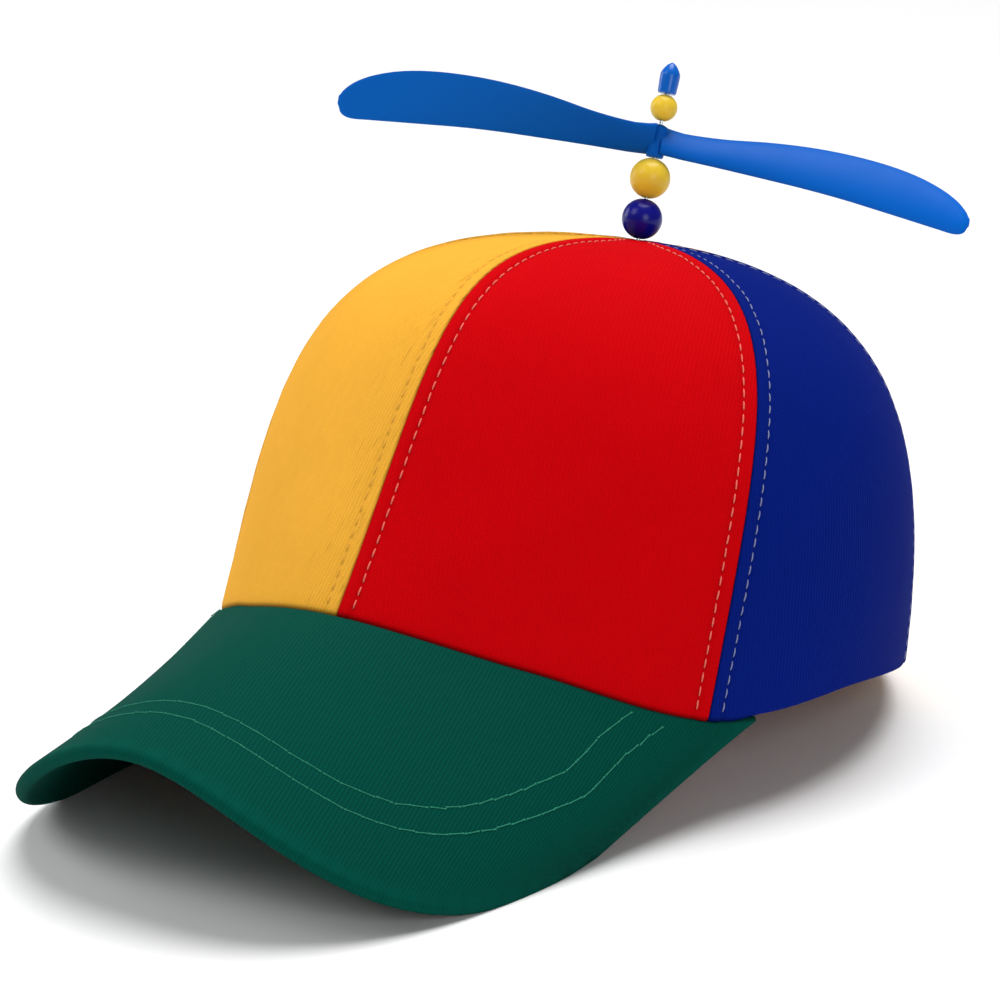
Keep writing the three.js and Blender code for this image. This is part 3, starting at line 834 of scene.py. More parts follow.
def stitch_template(stitch, thread_radius, knot=0.0):
    """One stitch: a stretched ball whose ends dip into the cloth, or end in a knot."""
    begin()
    bpy.ops.mesh.primitive_uv_sphere_add(segments=6 if knot else 8, ring_count=10 if knot else 7,
                                         radius=1, rotation=(0, math.pi / 2, 0))
    bpy.ops.object.transform_apply(location=True, rotation=True, scale=True)
    template = bpy.context.object
    template.name = "stitch_template"
    half = stitch / 2
    for vertex in template.data.vertices:
        x, y, z = vertex.co
        full = (1 - abs(x) ** (12 if knot else 3.2)) ** 0.5 if abs(x) < 1 else 0
        full *= thread_radius * (1 + knot * math.exp(-((abs(x) - 0.9) / 0.09) ** 2))
        around = math.hypot(y, z) or 1
        dip = (0.4 if knot else 1.25) * thread_radius * x * x
        vertex.co = (x * half, y / around * full, z / around * full * 0.85 - dip)
    return template


def stitch_matrices(line, normals, pitch, seed, wobble=0.0):
    """Places of the stitches along a line of points, and their places along it."""
    rng = np.random.default_rng(seed)
    runs = run_lengths(np.linalg.norm(np.diff(line, axis=0), axis=1))
    middles = np.arange(0.5, runs[-1] / pitch - 0.5) * pitch
    found = []
    for place in middles:
        at = place + rng.normal(0, 0.02) * pitch
        point, before, after = (
            np.array([np.interp(s, runs, line[:, k]) for k in range(3)])
            for s in (at, at - pitch / 2, at + pitch / 2)
        )
        up = unit(np.array([np.interp(at, runs, normals[:, k]) for k in range(3)]))
        along = unit(after - before)
        side = unit(np.cross(up, along))
        along = unit(along + side * rng.normal(0, wobble))
        side = unit(np.cross(up, along))
        point = point + side * rng.normal(0, wobble) * pitch * 0.2
        matrix = Matrix.Identity(4)
        for row in range(3):
            matrix[row][0], matrix[row][1] = along[row], side[row]
            matrix[row][2], matrix[row][3] = up[row], point[row]
        found.append(matrix)
    return found, list(middles)


def sewn(name, template, lines, pitch, lift, seed, wobble):
    """Stitches along rows, each a line of points and normals. A stitch stands off by a lift."""
    matrices, runs = [], []
    for row, (spots, normals) in enumerate(lines):
        spots = spots + normals * lift
        found, places = stitch_matrices(spots, normals, pitch, seed + row, wobble)
        matrices += found
        runs += places
    return copies(name, template, matrices, runs)


def on_piece(piece, points, reach):
    """The nearest points of a piece's surface and their normals, for points within reach."""
    spots, normals = [], []
    for point in points:
        found, spot, normal, _ = piece.closest_point_on_mesh(Vector(point))
        if found and (spot - Vector(point)).length < reach:
            spots.append(spot[:])
            normals.append(normal[:])
    return np.array(spots), np.array(normals)


def sway(points, grain, seed):
    """Slow waves from -1 to 1 at each of many points."""
    offset = Vector((seed * 3.1, seed * 1.7, seed * 2.3))
    flat = points.reshape(-1, 3) / grain
    values = [noise.noise(Vector(p) + offset) for p in flat]
    return np.array(values).reshape(points.shape[:-1])


def fine_ends(total, fine, fine_step, coarse_step):
    """Places from 0 to a total, close together near both ends."""
    edge = np.concatenate([np.array([0, 0.08, 0.18, 0.3, 0.45, 0.62]) * MM,
                           np.arange(0.85 * MM, fine, fine_step)])
    middle = np.linspace(fine, total - fine, max(2, round((total - 2 * fine) / coarse_step)))
    return np.concatenate([edge, middle, total - edge[::-1]])


class CAP_OT_panels(bpy.types.Operator):
    """Sews the six crown panels"""

    bl_idname = "cap.panels"
    bl_label = "Crown Panels"

    def columns(self, shape, first, last):
        """Turn at the lower edge and height over it of each column of a panel."""
        base = shape.seams[first][0]
        end = shape.seams[last][0]
        if last == "back":
            end -= shape.opening_turn
        per_degree = float(shape.crown_frame(mix(base, end, 0.5), 0.0)[2])
        total = (end - base) * per_degree
        places = fine_ends(total, fine=8 * MM, fine_step=0.55 * MM, coarse_step=2.6 * MM)
        turns = base + places / total * (end - base)
        tuck = bpy.context.scene.cap_sewing.tuck
        heights = -tuck * shape.over_peak(turns)
        if last == "back":
            half = shape.sizes.opening_width / 2
            close = np.arange(0, 9 * MM, 0.6 * MM)
            wide = np.linspace(9 * MM, half * 0.97, 12)
            swings = np.arccos(np.concatenate([close, wide]) / half)[::-1]
            swings = np.concatenate([np.linspace(0, swings[0], 7)[1:-1], swings])
            turns = np.concatenate([turns, 180 - shape.opening_turn * np.cos(swings)])
            arch = shape.sizes.opening_height * np.sin(swings)
            heights = np.concatenate([heights, arch])
        return turns, heights

    def grid(self, shape, panel):
        turns, heights = self.columns(shape, panel["first"], panel["last"])
        (base0, top0), (base1, top1) = shape.seams[panel["first"]], shape.seams[panel["last"]]
        part = (turns - base0) / (base1 - base0)
        low = shape.climb_at_height(turns, heights)
        top = shape.climb_at_radius(mix(top0, top1, part), shape.sizes.hole_radius)
        rise = np.concatenate([[0, 0.0012, 0.0032, 0.006], np.linspace(0.011, 1, 92)])
        climb = mix(low[:, None], top[:, None], rise[None, :])
        turn = mix(mix(base0, top0, climb), mix(base1, top1, climb), part[:, None])
        inset = np.zeros_like(part)
        inset[0], inset[-1] = shape.sizes.seam_gap / 2, -shape.sizes.seam_gap / 2
        turn = turn + inset[:, None] / shape.crown_frame(turn, climb)[2]
        return turn, climb

    def build(self, shape, sewing, panel, seed):
        turn, climb = self.grid(shape, panel)
        points = shape.crown_point(turn, climb)
        normal = shape.crown_frame(turn, climb)[1]
        across = np.linalg.norm(np.diff(points, axis=0), axis=-1)
        first = np.concatenate([np.zeros((1, points.shape[1])), np.cumsum(across, axis=0)])
        last = first[-1][None, :] - first
        width = first[-1]
        up = np.linalg.norm(np.diff(points, axis=1), axis=-1)
        run = np.concatenate([np.zeros((points.shape[0], 1)), np.cumsum(up, axis=1)], axis=1)
        edge = points[:, 0]
        gaps = points[:, :, None, :] - edge[None, None, :, :]
        hem = np.sqrt((gaps ** 2).sum(-1)).min(axis=2)
        close = narrowing(width)[None, :]
        offset = sewing.seam_offset * close
        seam = np.minimum(first, last)
        fold = sewing.fold * close
        roll = mix(1.1, 2.2, shape.over_peak(turn)) * MM
        band = 1 - ease((seam - offset * 0.72) / (offset * 0.5))
        pull = np.exp(-((seam - offset) / (0.8 * MM)) ** 2)
        pucker = np.exp(-((seam - offset) / (3.5 * MM)) ** 2)
        ripple = sway(points, 6 * MM, seed + 5)
        calm = ease(seam / (14 * MM)) * ease(hem / (16 * MM))
        slow = sway(points, 34 * MM, seed) + 0.4 * sway(points, 15 * MM, seed + 9)
        relief = -fold * rounded(seam, fold) - 0.6 * roll * rounded(hem, roll)
        relief = relief + sewing.band * band * close
        relief = relief - sewing.pull * pull * close + 0.12 * MM * pucker * ripple
        relief = relief + sewing.sway * slow * calm
        middle = mix(shape.seams[panel["first"]][0], shape.seams[panel["last"]][0], 0.5)
        u = shape.ring_length(middle, turn, climb)
        climbs = np.linspace(0, 1, 200)
        steps = np.linalg.norm(np.diff(shape.crown_point(middle, climbs), axis=0), axis=1)
        lengths = run_lengths(steps)
        v = np.interp(climb, climbs, lengths)
        measures = {
            "cloth": np.stack([u, v, hem], -1),
            "rows": np.stack([first - offset, last - offset, seam], -1),
            "run": np.stack([
                np.broadcast_to(run[0][None, :], u.shape),
                np.broadcast_to(run[-1][None, :], u.shape),
                shape.over_peak(turn)], -1),
        }
        flat = (float(width.max()), float(lengths[-1]))
        depth = sewing.sway * slow * calm - shape.sizes.cloth_wall
        inner = points + normal * depth[..., None]
        outer = points + normal * relief[..., None]
        hand = np.array((panel["hand"], 1, 1))
        outer, inner = shape.placed(outer * hand), shape.placed(inner * hand)
        cell = np.linalg.norm(np.cross(outer[1:, :-1] - outer[:-1, :-1],
                                       outer[:-1, 1:] - outer[:-1, :-1]), axis=-1)
        piece = cloth_shell(panel["name"] + "_cloth", outer, inner, measures)
        return piece, flat, float(cell.sum())

    def execute(self, context):
        scene = context.scene
        shape = CapShape(scene.cap_sizes)
        sewing = scene.cap_sewing
        dyes = {dye: twill(dye + "_twill", getattr(scene.cap_colours, dye)[:], sewing.rib,
                           0.00012, contrast, creases=creases)
                for dye, contrast, creases in (("red", 0.065, 0.0), ("yellow", 0.13, 0.2),
                                               ("blue", 0.2, 0.0))}
        for seed, panel in enumerate(PANELS):
            piece, flat, area = self.build(shape, sewing, panel, seed + 1)
            smooth(piece, 50)
            dress(piece, dyes[panel["dye"]], "root",
                  ["panel_" + panel["name"]])
        return {"FINISHED"}


class CAP_OT_peak(bpy.types.Operator):
    """Covers the peak's board with cloth"""

    bl_idname = "cap.peak"
    bl_label = "Peak"

    def execute(self, context):
        scene = context.scene
        sizes = scene.cap_sizes
        shape = CapShape(sizes)
        turns = 12
        near = np.array([0, 0.004, 0.009, 0.015, 0.022, 0.03])
        across, out = np.meshgrid(np.linspace(-1, 1, 181),
                                  np.concatenate([near, np.linspace(0.042, 1, 58)]),
                                  indexing="ij")
        top = shape.peak_point(across, out)
        normal = shape.peak_normal(across, out)
        from_crown = np.linalg.norm(top - top[:, :1], axis=-1)
        dip = scene.cap_sewing.dip * (1 - ease(from_crown / (2.6 * MM)))
        top = top - normal * (dip * ease((1 - np.abs(across)) / 0.06))[..., None]
        hidden = shape.peak_inner(across[:, :1], sizes.cloth_wall)
        top = np.concatenate([hidden, top], axis=1)
        normal = np.concatenate([normal[:, :1], normal], axis=1)
        columns, rows = top.shape[:2]
        aside, ahead = shape.peak_lengths(top, normal)
        under = top - normal * sizes.peak_wall
        side = [(0, j) for j in range(1, rows)]
        side += [(i, rows - 1) for i in range(1, columns - 1)]
        side += [(columns - 1, j) for j in range(rows - 1, 0, -1)]
        border = np.array([top[i, j] for i, j in side])
        ups = np.array([normal[i, j] for i, j in side])
        tangent = unit(np.gradient(border, axis=0))
        outward = unit(np.cross(tangent, ups))
        radius = sizes.peak_wall / 2
        rim = []
        for k in range(1, turns):
            swing = math.pi / 2 - math.pi * k / turns
            rim.append(border - ups * radius
                       + radius * (outward * math.cos(swing) + ups * math.sin(swing)))
        points = np.concatenate([top.reshape(-1, 3), under.reshape(-1, 3), *rim])
        start = columns * rows
        at = lambda i, j: i * rows + j
        faces = []
        for i in range(columns - 1):
            for j in range(rows - 1):
                quad = (at(i, j), at(i + 1, j), at(i + 1, j + 1), at(i, j + 1))
                faces.append(quad)
                faces.append(tuple(start + v for v in reversed(quad)))
            faces.append((at(i, 0), at(i + 1, 0), start + at(i + 1, 0), start + at(i, 0)))
        loops = [[at(i, j) for i, j in side]]
        loops += [[2 * start + k * len(side) + n for n in range(len(side))]
                  for k in range(turns - 1)]
        loops += [[start + at(i, j) for i, j in side]]
        for upper, lower in zip(loops, loops[1:]):
            for n in range(len(side) - 1):
                faces.append((upper[n], upper[n + 1], lower[n + 1], lower[n]))
        for end, row in ((0, at(0, 0)), (-1, at(columns - 1, 0))):
            ring = [row] + [loop[end] for loop in loops] + [start + row]
            faces.append(tuple(ring))
        mesh = bpy.data.meshes.new("peak_cloth")
        mesh.from_pydata(shape.placed(points).tolist(), [], faces)
        piece = bpy.data.objects.new("peak_cloth", mesh)
        scene.collection.objects.link(piece)
        face_outwards(piece)
        grain = math.radians(scene.cap_sewing.peak_grain)
        u = aside * math.cos(grain) - ahead * math.sin(grain)
        v = ahead * math.cos(grain) + aside * math.sin(grain)
        u, v = (np.concatenate([part.ravel(), part.ravel(),
                                *[[part[i, j] for i, j in side]] * (turns - 1)])
                for part in (u, v))
        gap = np.sqrt(((points[:, None, :] - border[None, ::4, :]) ** 2).sum(-1)).min(axis=1)
        far = np.ones_like(u)
        edge = shape.peak_inner(np.linspace(-1, 1, 200))
        seam = np.sqrt(((points[:, None, :] - edge[None]) ** 2).sum(-1)).min(axis=1)
        set_measures(piece, {
            "cloth": np.stack([u, v, gap], -1),
            "rows": np.stack([far, far, seam], -1),
            "run": np.stack([0 * far, 0 * far, 0 * far], -1),
        })
        smooth(piece, 60)
        dress(piece, twill("green_twill", scene.cap_colours.green[:], scene.cap_sewing.peak_rib,
                           0.00016, 0.3, scene.cap_sewing.rim_calm),
              "root", ["peak"])
        flat = (float(aside.max() - aside.min()), float(ahead.max() - ahead.min()))
        return {"FINISHED"}


class CAP_OT_strap(bpy.types.Operator):
    """Lays the back strap behind the arched opening"""

    bl_idname = "cap.strap"
    bl_label = "Back Strap"

    def execute(self, context):
        scene = context.scene
        sizes = scene.cap_sizes
        shape = CapShape(sizes)
        turn = np.linspace(180 - shape.strap_turn, 180 + shape.strap_turn, 60)
        height = np.concatenate([[0, 0.3, 0.9], np.linspace(1.8, 17.2, 14), [18.1, 18.7, 19]])
        height = height / height[-1] * sizes.strap_height + sizes.strap_rise
        turn, height = np.meshgrid(turn, height, indexing="ij")
        climb = shape.climb_at_height(turn, height)
        points = shape.crown_point(turn, climb)
        normal = shape.crown_frame(turn, climb)[1]
        edge = np.minimum(height - height.min(), height.max() - height)
        fold = 0.4 * MM * rounded(edge, 0.9 * MM)
        points = points - normal * (sizes.strap_inset + fold)[..., None]
        middle = shape.ring_length(180.0, turn, climb)
        far = np.ones_like(turn)
        low, high = height - height.min(), height.max() - height
        measures = {
            "cloth": np.stack([middle, height, edge], -1),
            "rows": np.stack([low - STRAP_ROW, high - STRAP_ROW, far], -1),
            "run": np.stack([middle, middle, 0 * far], -1),
        }
        piece = cloth_grid("strap_cloth", shape.placed(points), measures)
        modify(piece, "SOLIDIFY", thickness=sizes.strap_wall, offset=-1.0)
        modify(piece, "BEVEL", width=0.4 * MM, segments=3, limit_method="ANGLE",
               angle_limit=math.radians(62))
        smooth(piece, 50)
        dress(piece, bpy.data.materials["blue_twill"], "root", ["back_strap"])
        return {"FINISHED"}


class CAP_OT_stitching(bpy.types.Operator):
    """Sews the stitch rows along the seams, the opening, the strap and the peak"""

    bl_idname = "cap.stitching"
    bl_label = "Stitching"

    def panel_rows(self, shape, sewing, panel):
        """Lines of points beside a panel's two seams, in the row's frame."""
        climbs = np.linspace(0.004, 0.985, 260)
        lines = []
        for seam, inward in ((panel["first"], 1), (panel["last"], -1)):
            base, top = shape.seams[seam]
            lowest = 0.0
            if seam == "back":
                height = np.array(shape.sizes.opening_height)
                lowest = float(shape.climb_at_height(np.array(180.0), height)) + 0.004
            kept = climbs[climbs > lowest]
            turn = mix(base, top, kept)
            other = shape.seams[panel["last"] if inward > 0 else panel["first"]]
            opposite = mix(other[0], other[1], kept)
            width = np.abs(shape.ring_length(turn, opposite, kept))
            offset = sewing.seam_offset * narrowing(width)
            turn = turn + inward * offset / shape.crown_frame(turn, kept)[2]
            keep = width > 7 * MM
            points = shape.crown_point(turn, kept)[keep]
            points[..., 0] *= panel["hand"]
            lines.append(shape.placed(points))
        if panel["last"] == "back":
            swings = np.linspace(0.02, math.pi / 2 - 0.17, 90)
            reach = 1 + 5.2 * MM / (shape.sizes.opening_width / 2)
            rise = 1 + 5.2 * MM / shape.sizes.opening_height
            turn = 180 - shape.opening_turn * reach * np.cos(swings)
            height = shape.sizes.opening_height * rise * np.sin(swings)
            points = shape.crown_point(turn, shape.climb_at_height(turn, height))
            points[..., 0] *= panel["hand"]
            lines.append(shape.placed(points))
        return lines

    def peak_rows(self, shape, sewing, peak):
        """Points of the peak's two rows and their normals, at a distance from its edge."""
        across, out = np.meshgrid(np.linspace(-1, 1, 721), np.linspace(0, 1, 141), indexing="ij")
        points = shape.peak_point(across, out)
        edge = np.concatenate([points[0, :-1], points[:, -1], points[-1, -2::-1]])[::2]
        gaps = np.full(across.shape, 1.0)
        for spot in edge:
            gaps = np.minimum(gaps, np.linalg.norm(points - spot, axis=-1))
        behind = ease((points[..., 1] - shape.side_y + 2 * MM) / (32 * MM))
        window = np.hanning(17)
        lines = []
        for row in (sewing.outer_row, sewing.inner_row):
            excess = gaps - (row - sewing.side_closer * behind)
            inside = excess > 0
            kept = np.flatnonzero(inside.any(axis=1))
            last = out.shape[1] - 1 - np.argmax(inside[kept, ::-1], axis=1)
            here, beyond = excess[kept, last], excess[kept, last + 1]
            places = (last + here / (here - beyond)) / (out.shape[1] - 1)
            line = shape.placed(shape.peak_point(across[kept, 0], places))
            runs = run_lengths(np.linalg.norm(np.diff(line, axis=0), axis=1))
            even = np.arange(0, runs[-1], 0.4 * MM)
            line = np.stack([np.interp(even, runs, line[:, k]) for k in range(3)], -1)
            line = np.pad(line, ((8, 8), (0, 0)), mode="edge")
            line = np.stack([np.convolve(line[:, k], window / window.sum(), "valid")
                             for k in range(3)], -1)
            lines.append(on_piece(peak, line, 1 * MM))
        return lines

    def execute(self, context):
        scene = context.scene
        sizes, sewing, colours = scene.cap_sizes, scene.cap_sewing, scene.cap_colours
        shape = CapShape(sizes)
        threads = {
            "red": thread("thread_on_red", colours.thread_red[:]),
            "yellow": thread("thread_on_yellow", colours.thread_yellow[:]),
            "blue": thread("thread_on_blue", colours.thread_blue[:]),
            "green": thread("thread_on_green", colours.thread_green[:]),
        }
        template = stitch_template(sewing.stitch, sewing.thread)
        lift = sewing.thread * 0.55
        for seed, panel in enumerate(PANELS):
            cloth = bpy.data.objects[panel["name"] + "_cloth"]
            lines = [on_piece(cloth, line, ROW_REACH)
                     for line in self.panel_rows(shape, sewing, panel)]
            piece = sewn(panel["name"] + "_stitches", template, lines, sewing.pitch, lift,
                         seed * 10, 0.03)
            dress(piece, threads[panel["dye"]])
        strap = bpy.data.objects["strap_cloth"]
        turn = np.linspace(180 - shape.strap_turn + 0.6, 180 + shape.strap_turn - 0.6, 120)
        lines = []
        for inset in (STRAP_ROW, sizes.strap_height - STRAP_ROW):
            climb = shape.climb_at_height(turn, np.full_like(turn, sizes.strap_rise + inset))
            normal = shape.crown_frame(turn, climb)[1]
            line = shape.crown_point(turn, climb) - normal * sizes.strap_inset
            lines.append(on_piece(strap, shape.placed(line), ROW_REACH))
        piece = sewn("strap_stitches", template, lines, sewing.pitch, lift, 80, 0.03)
        dress(piece, threads["blue"])
        bpy.data.objects.remove(template)
        template = stitch_template(sewing.peak_stitch, sewing.peak_thread, 1.9)
        lines = self.peak_rows(shape, sewing, bpy.data.objects["peak_cloth"])
        piece = sewn("peak_stitches", template, lines, sewing.peak_pitch,
                     sewing.peak_thread * 0.5, 90, 0.06)
        dress(piece, threads["green"])
        bpy.data.objects.remove(template)
        return {"FINISHED"}


def turned(name, outline, steps, matrix):
    """A piece turned round the Z axis: one vertex is extruded along an outline of radii and
    heights, which closes on the axis or on itself, and the outline is spun."""
    begin()
    bpy.ops.mesh.primitive_plane_add(size=MM)
    piece = bpy.context.object
    piece.name = piece.data.name = name
    bpy.ops.object.mode_set(mode="EDIT")
    bpy.ops.mesh.select_all(action="SELECT")
    bpy.ops.mesh.merge(type="CENTER")
    bpy.ops.transform.translate(value=(outline[0][0], 0, outline[0][1]))
    for (r0, z0), (r1, z1) in zip(outline, outline[1:]):
        bpy.ops.mesh.extrude_region_move(TRANSFORM_OT_translate={"value": (r1 - r0, 0, z1 - z0)})
    bpy.ops.mesh.select_all(action="SELECT")
    bpy.ops.mesh.spin(steps=steps, angle=math.tau, center=(0, 0, 0), axis=(0, 0, 1))
    bpy.ops.mesh.select_all(action="SELECT")
    bpy.ops.mesh.remove_doubles(threshold=1e-6)
    bpy.ops.mesh.normals_make_consistent(inside=False)
    bpy.ops.object.mode_set(mode="OBJECT")
    piece.data.transform(matrix)
    return piece


def outline_of(rows, diameter, bottom, height, steps):
    """A smooth outline through a table of shares."""
    places = np.linspace(rows[0]["height"], rows[-1]["height"], steps)
    radii = smooth_value(rows, "height", "radius", places)
    return [(diameter / 2 * r, bottom + height * z) for r, z in zip(radii, places)]


def lofted(name, rings):
    """A closed piece through rings of points: a circle is extruded ring by ring, and each ring is
    set in its place."""
    count = len(rings[0])
    begin()
    bpy.ops.mesh.primitive_circle_add(vertices=count, fill_type="NGON")
    piece = bpy.context.object
    piece.name = piece.data.name = name
    bpy.ops.object.mode_set(mode="EDIT")
    bpy.ops.mesh.select_all(action="SELECT")
    for _ in rings[1:]:
        bpy.ops.mesh.extrude_region_move(TRANSFORM_OT_translate={"value": (0, 0, 1)})
    bpy.ops.object.mode_set(mode="OBJECT")
    joined = {}
    for edge in piece.data.edges:
        a, b = edge.vertices
        joined.setdefault(a, []).append(b)
        joined.setdefault(b, []).append(a)
    level = lambda v: round(piece.data.vertices[v].co.z)
    ring = sorted((v.index for v in piece.data.vertices if level(v.index) == 0),
                  key=lambda v: math.atan2(piece.data.vertices[v].co.y,
                                           piece.data.vertices[v].co.x))
    order = [ring]
    for k in range(1, len(rings)):
        ring = [next(n for n in joined[v] if level(n) == k) for v in ring]
        order.append(ring)
    for ring, points in zip(order, rings):
        for v, point in zip(ring, points):
            piece.data.vertices[v].co = point
    face_outwards(piece)
    return piece


def bead(name, stack, diameter, centre, matrix):
    """A round bead with a rounded lip where the bore comes out."""
    radius, lip = diameter / 2, 0.35 * MM
    start = math.asin((stack.bore + lip) / radius)
    swings = np.linspace(start, math.pi - start, 40)
    outer = [(radius * math.sin(a), centre - radius * math.cos(a)) for a in swings]
    flat = radius * math.cos(start) - 0.1 * MM
    lips = [(stack.bore + lip * (1 - math.sin(a)), centre + flat - lip * (1 - math.cos(a)))
            for a in np.linspace(0.3, math.pi / 2, 5)]
    lower = [(r, 2 * centre - z) for r, z in reversed(lips)]
    piece = turned(name, outer + lips + lower + outer[:1], 56, matrix)
    smooth(piece, 50)
    return piece


class CAP_OT_beads(bpy.types.Operator):
    """Threads the three beads on the wire"""

    bl_idname = "cap.beads"
    bl_label = "Beads"

    def execute(self, context):
        scene = context.scene
        sizes = scene.cap_stack
        stack = StackShape(sizes)
        matrix = stack.placement(CapShape(scene.cap_sizes))
        navy = moulded("navy_bead_gloss", scene.cap_colours.navy[:], 0.25, 0.05, 0.06, 0.2)
        yellow = moulded("yellow_bead_gloss", scene.cap_colours.bead[:], 0.34, 0.05, 0.08)
        dress(bead("lowest_bead", stack, sizes.bead, stack.navy, matrix), navy,
              "root", ["bead_navy"])
        dress(bead("middle_bead", stack, sizes.bead, stack.yellow, matrix), yellow,
              "root", ["bead_yellow"])
        dress(bead("top_bead", stack, sizes.small_bead, stack.small, matrix), yellow,
              "root", ["bead_small"])
        return {"FINISHED"}


class CAP_OT_wire(bpy.types.Operator):
    """Finishes the wire and its tip cap"""

    bl_idname = "cap.wire"
    bl_label = "Wire and Tip Cap"

    def execute(self, context):
        scene = context.scene
        sizes = scene.cap_stack
        stack = StackShape(sizes)
        matrix = stack.placement(CapShape(scene.cap_sizes))
        wire = frame["nodes"]["spindle"]
        wire.data.materials.clear()
        wire.data.materials.append(steel("drawn_steel", scene.cap_colours.steel[:]))
        outer = outline_of(TIP_ROWS, sizes.tip, stack.tip, sizes.tip_length, 34)
        top = stack.wire_top + sizes.seat
        inner = [(0, stack.tip + sizes.tip_length), (0, top), (stack.bore, top),
                 (stack.bore, stack.tip)]
        piece = turned("tip_of_wire", outer + inner + outer[:1], 48, matrix)
        smooth(piece, 40)
        dress(piece, moulded("tip_plastic", scene.cap_colours.propeller[:], 0.26, 0.1, 0.04),
              "root", ["tip_cap"])
        return {"FINISHED"}


class CAP_OT_propeller(bpy.types.Operator):
    """Moulds the propeller: a waisted hub with two pitched blades"""

    bl_idname = "cap.propeller"
    bl_label = "Propeller"

    def blade(self, name, stack, half_turn):
        sizes = stack.sizes
        stations = np.concatenate([[0.012, 0.04], np.linspace(0.08, 0.9, 30),
                                   1 - 0.1 * np.cos(np.linspace(0.35, 1.5, 12)) ** 1.6])
        swings = np.arange(28) / 28 * math.tau
        rings = []
        for along in stations:
            pitch = math.radians(sizes.pitch + sizes.twist * along)
            centre = stack.hub + sizes.hub_height / 2 - sizes.droop * along ** 2
            lower = float(smooth_value(BLADE_ROWS, "along", "lower", along)) * sizes.blade
            upper = float(smooth_value(BLADE_ROWS, "along", "upper", along)) * sizes.blade
            half = (upper - lower) / 2
            thin = min(1, half / (0.23 * sizes.blade)) * (1.15 - 0.4 * along)
            root = max(0.0, 1 - along / 0.16) ** 2
            chord = (lower + upper) / 2 + half * np.sign(np.cos(swings)) * np.abs(
                np.cos(swings)) ** 0.9
            thick = sizes.blade_wall / 2 * thin * (1 + 0.9 * root)
            depth = thick * np.sin(swings)
            bow = sizes.camber * (1 - ((chord - (lower + upper) / 2) / half) ** 2)
            depth = depth + bow * min(1, along / 0.2) * min(1, half / (0.4 * sizes.blade))
            ring = np.stack([
                np.full_like(chord, along * sizes.radius),
                chord * math.cos(pitch) - depth * math.sin(pitch),
                centre + chord * math.sin(pitch) + depth * math.cos(pitch),
            ], -1)
            rings.append([Vector(p) for p in ring])
        piece = lofted(name, rings)
        if half_turn:
            piece.data.transform(Matrix.Rotation(math.pi, 4, "Z"))
        return piece

    def execute(self, context):
        scene = context.scene
        sizes = scene.cap_stack
        stack = StackShape(sizes)
        matrix = stack.placement(CapShape(scene.cap_sizes))
        outer = outline_of(HUB_ROWS, sizes.hub, stack.hub, sizes.hub_height, 40)
        top = stack.hub + sizes.hub_height
        outline = [(0, stack.hub)] + outer + [(0, top)]
        hub = turned("propeller_plastic", outline, 48, Matrix.Identity(4))
        blades = [self.blade("blade_" + str(k), stack, k == 1) for k in range(2)]
        for blade in blades:
            modify(hub, "BOOLEAN", operation="UNION", object=blade, solver="EXACT")
            bpy.data.objects.remove(blade)
        begin()
        bpy.ops.mesh.primitive_cylinder_add(vertices=32, radius=stack.bore,
                                            depth=3 * sizes.hub_height,
                                            location=(0, 0, stack.hub))
        bore = bpy.context.object
        modify(hub, "BOOLEAN", operation="DIFFERENCE", object=bore, solver="EXACT")
        bpy.data.objects.remove(bore)
        turn = Matrix.Rotation(math.radians(sizes.turn), 4, "Z")
        hub.data.transform(matrix @ turn)
        smooth(hub, 38)
        middle = matrix @ Vector((0, 0, stack.hub + sizes.hub_height / 2))
        plastic = moulded("propeller_moulding", scene.cap_colours.propeller[:], 0.45, 0.0, 0.05,
                          0.06, middle[:], sizes.radius)
        dress(hub, plastic, "propeller", ["propeller"])
        return {"FINISHED"}


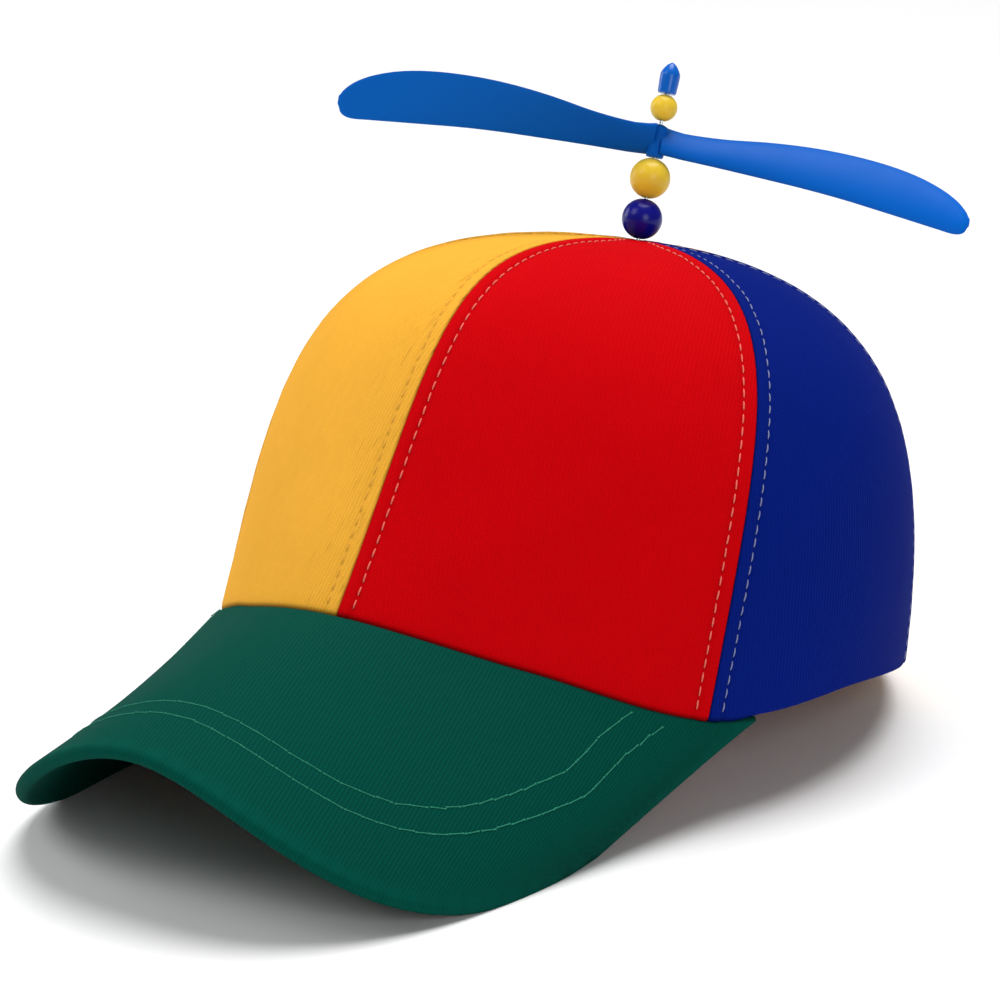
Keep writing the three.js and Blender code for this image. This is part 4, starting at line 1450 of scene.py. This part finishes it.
class CAP_OT_stage(bpy.types.Operator):
    """Sets the floor, the lights and the camera"""

    bl_idname = "cap.stage"
    bl_label = "Stage"

    def light(self, name, place, width, power):
        begin()
        bpy.ops.object.light_add(type="AREA", location=place)
        lamp = bpy.context.object
        lamp.name = name
        lamp.data.shape = "RECTANGLE"
        lamp.data.size = lamp.data.size_y = width
        lamp.data.energy = power
        way = Vector(LAMP_AIM) - Vector(place)
        lamp.rotation_euler = way.to_track_quat("-Z", "Y").to_euler()

    def execute(self, context):
        scene = context.scene
        begin()
        bpy.ops.mesh.primitive_grid_add(x_subdivisions=8, y_subdivisions=8, size=14)
        floor = bpy.context.object
        floor.name = "floor"
        floor.data.materials.append(pale_floor("floor_paper", scene.cap_colours.floor[:]))
        for lamp in LAMPS:
            self.light(**lamp)
        bpy.ops.object.light_add(type="SUN")
        overhead = bpy.context.object
        overhead.name = "overhead"
        overhead.data.energy, overhead.data.angle = SUN["power"], math.radians(SUN["spread"])
        overhead.rotation_euler = Vector(SUN["way"]).to_track_quat("-Z", "Y").to_euler()
        world = bpy.data.worlds.new("studio")
        world.use_nodes = True
        glow = world.node_tree.nodes["Background"].inputs
        glow["Color"].default_value = (1, 1, 1, 1)
        glow["Strength"].default_value = WORLD_GLOW
        scene.world = world
        scene.view_settings.view_transform = "Standard"
        azimuth, elevation, roll = (math.radians(CAMERA[key])
                                    for key in ("azimuth", "elevation", "roll"))
        back = Vector((math.sin(azimuth) * math.cos(elevation),
                       -math.cos(azimuth) * math.cos(elevation), math.sin(elevation)))
        right = Vector((math.cos(azimuth), math.sin(azimuth), 0))
        up = back.cross(right)
        turned_right = right * math.cos(roll) + up * math.sin(roll)
        turned_up = up * math.cos(roll) - right * math.sin(roll)
        begin()
        bpy.ops.object.camera_add()
        camera = bpy.context.object
        axes = Matrix((turned_right, turned_up, back)).transposed().to_4x4()
        eye = Vector(CAMERA["aim"]) + back * CAMERA["distance"]
        camera.matrix_world = Matrix.Translation(eye) @ axes
        camera.data.sensor_width = 36
        camera.data.lens = CAMERA["lens"]
        camera.data.clip_start, camera.data.clip_end = 0.05, 50
        scene.camera = camera
        return {"FINISHED"}


STEPS = (CAP_OT_panels, CAP_OT_peak, CAP_OT_strap, CAP_OT_stitching, CAP_OT_beads,
         CAP_OT_wire, CAP_OT_propeller, CAP_OT_stage)


class CAP_PT_sidebar(bpy.types.Panel):
    """Lists the cap's pieces and sizes"""

    bl_idname = "CAP_PT_sidebar"
    bl_label = "Propeller Cap"
    bl_space_type = "VIEW_3D"
    bl_region_type = "UI"
    bl_category = "Propeller Cap"

    def draw(self, context):
        for step in STEPS:
            self.layout.operator(step.bl_idname)
        for group in (context.scene.cap_sizes, context.scene.cap_sewing,
                      context.scene.cap_stack, context.scene.cap_colours):
            box = self.layout.box()
            for name in group.__annotations__:
                box.prop(group, name)


GROUPS = {"cap_sizes": CapSizes, "cap_sewing": SewingSizes, "cap_stack": StackSizes,
          "cap_colours": CapColours}


def register():
    for cls in (*GROUPS.values(), *STEPS, CAP_PT_sidebar):
        bpy.utils.register_class(cls)
    for name, group in GROUPS.items():
        setattr(bpy.types.Scene, name, PointerProperty(type=group))


def unregister():
    for name in GROUPS:
        delattr(bpy.types.Scene, name)
    for cls in reversed((*GROUPS.values(), *STEPS, CAP_PT_sidebar)):
        bpy.utils.unregister_class(cls)


def main():
    register()
    bpy.ops.cap.panels()
    bpy.ops.cap.peak()
    bpy.ops.cap.strap()
    bpy.ops.cap.stitching()
    bpy.ops.cap.beads()
    bpy.ops.cap.wire()
    bpy.ops.cap.propeller()
    bpy.ops.cap.stage()


if __name__ == "__main__":
    main()
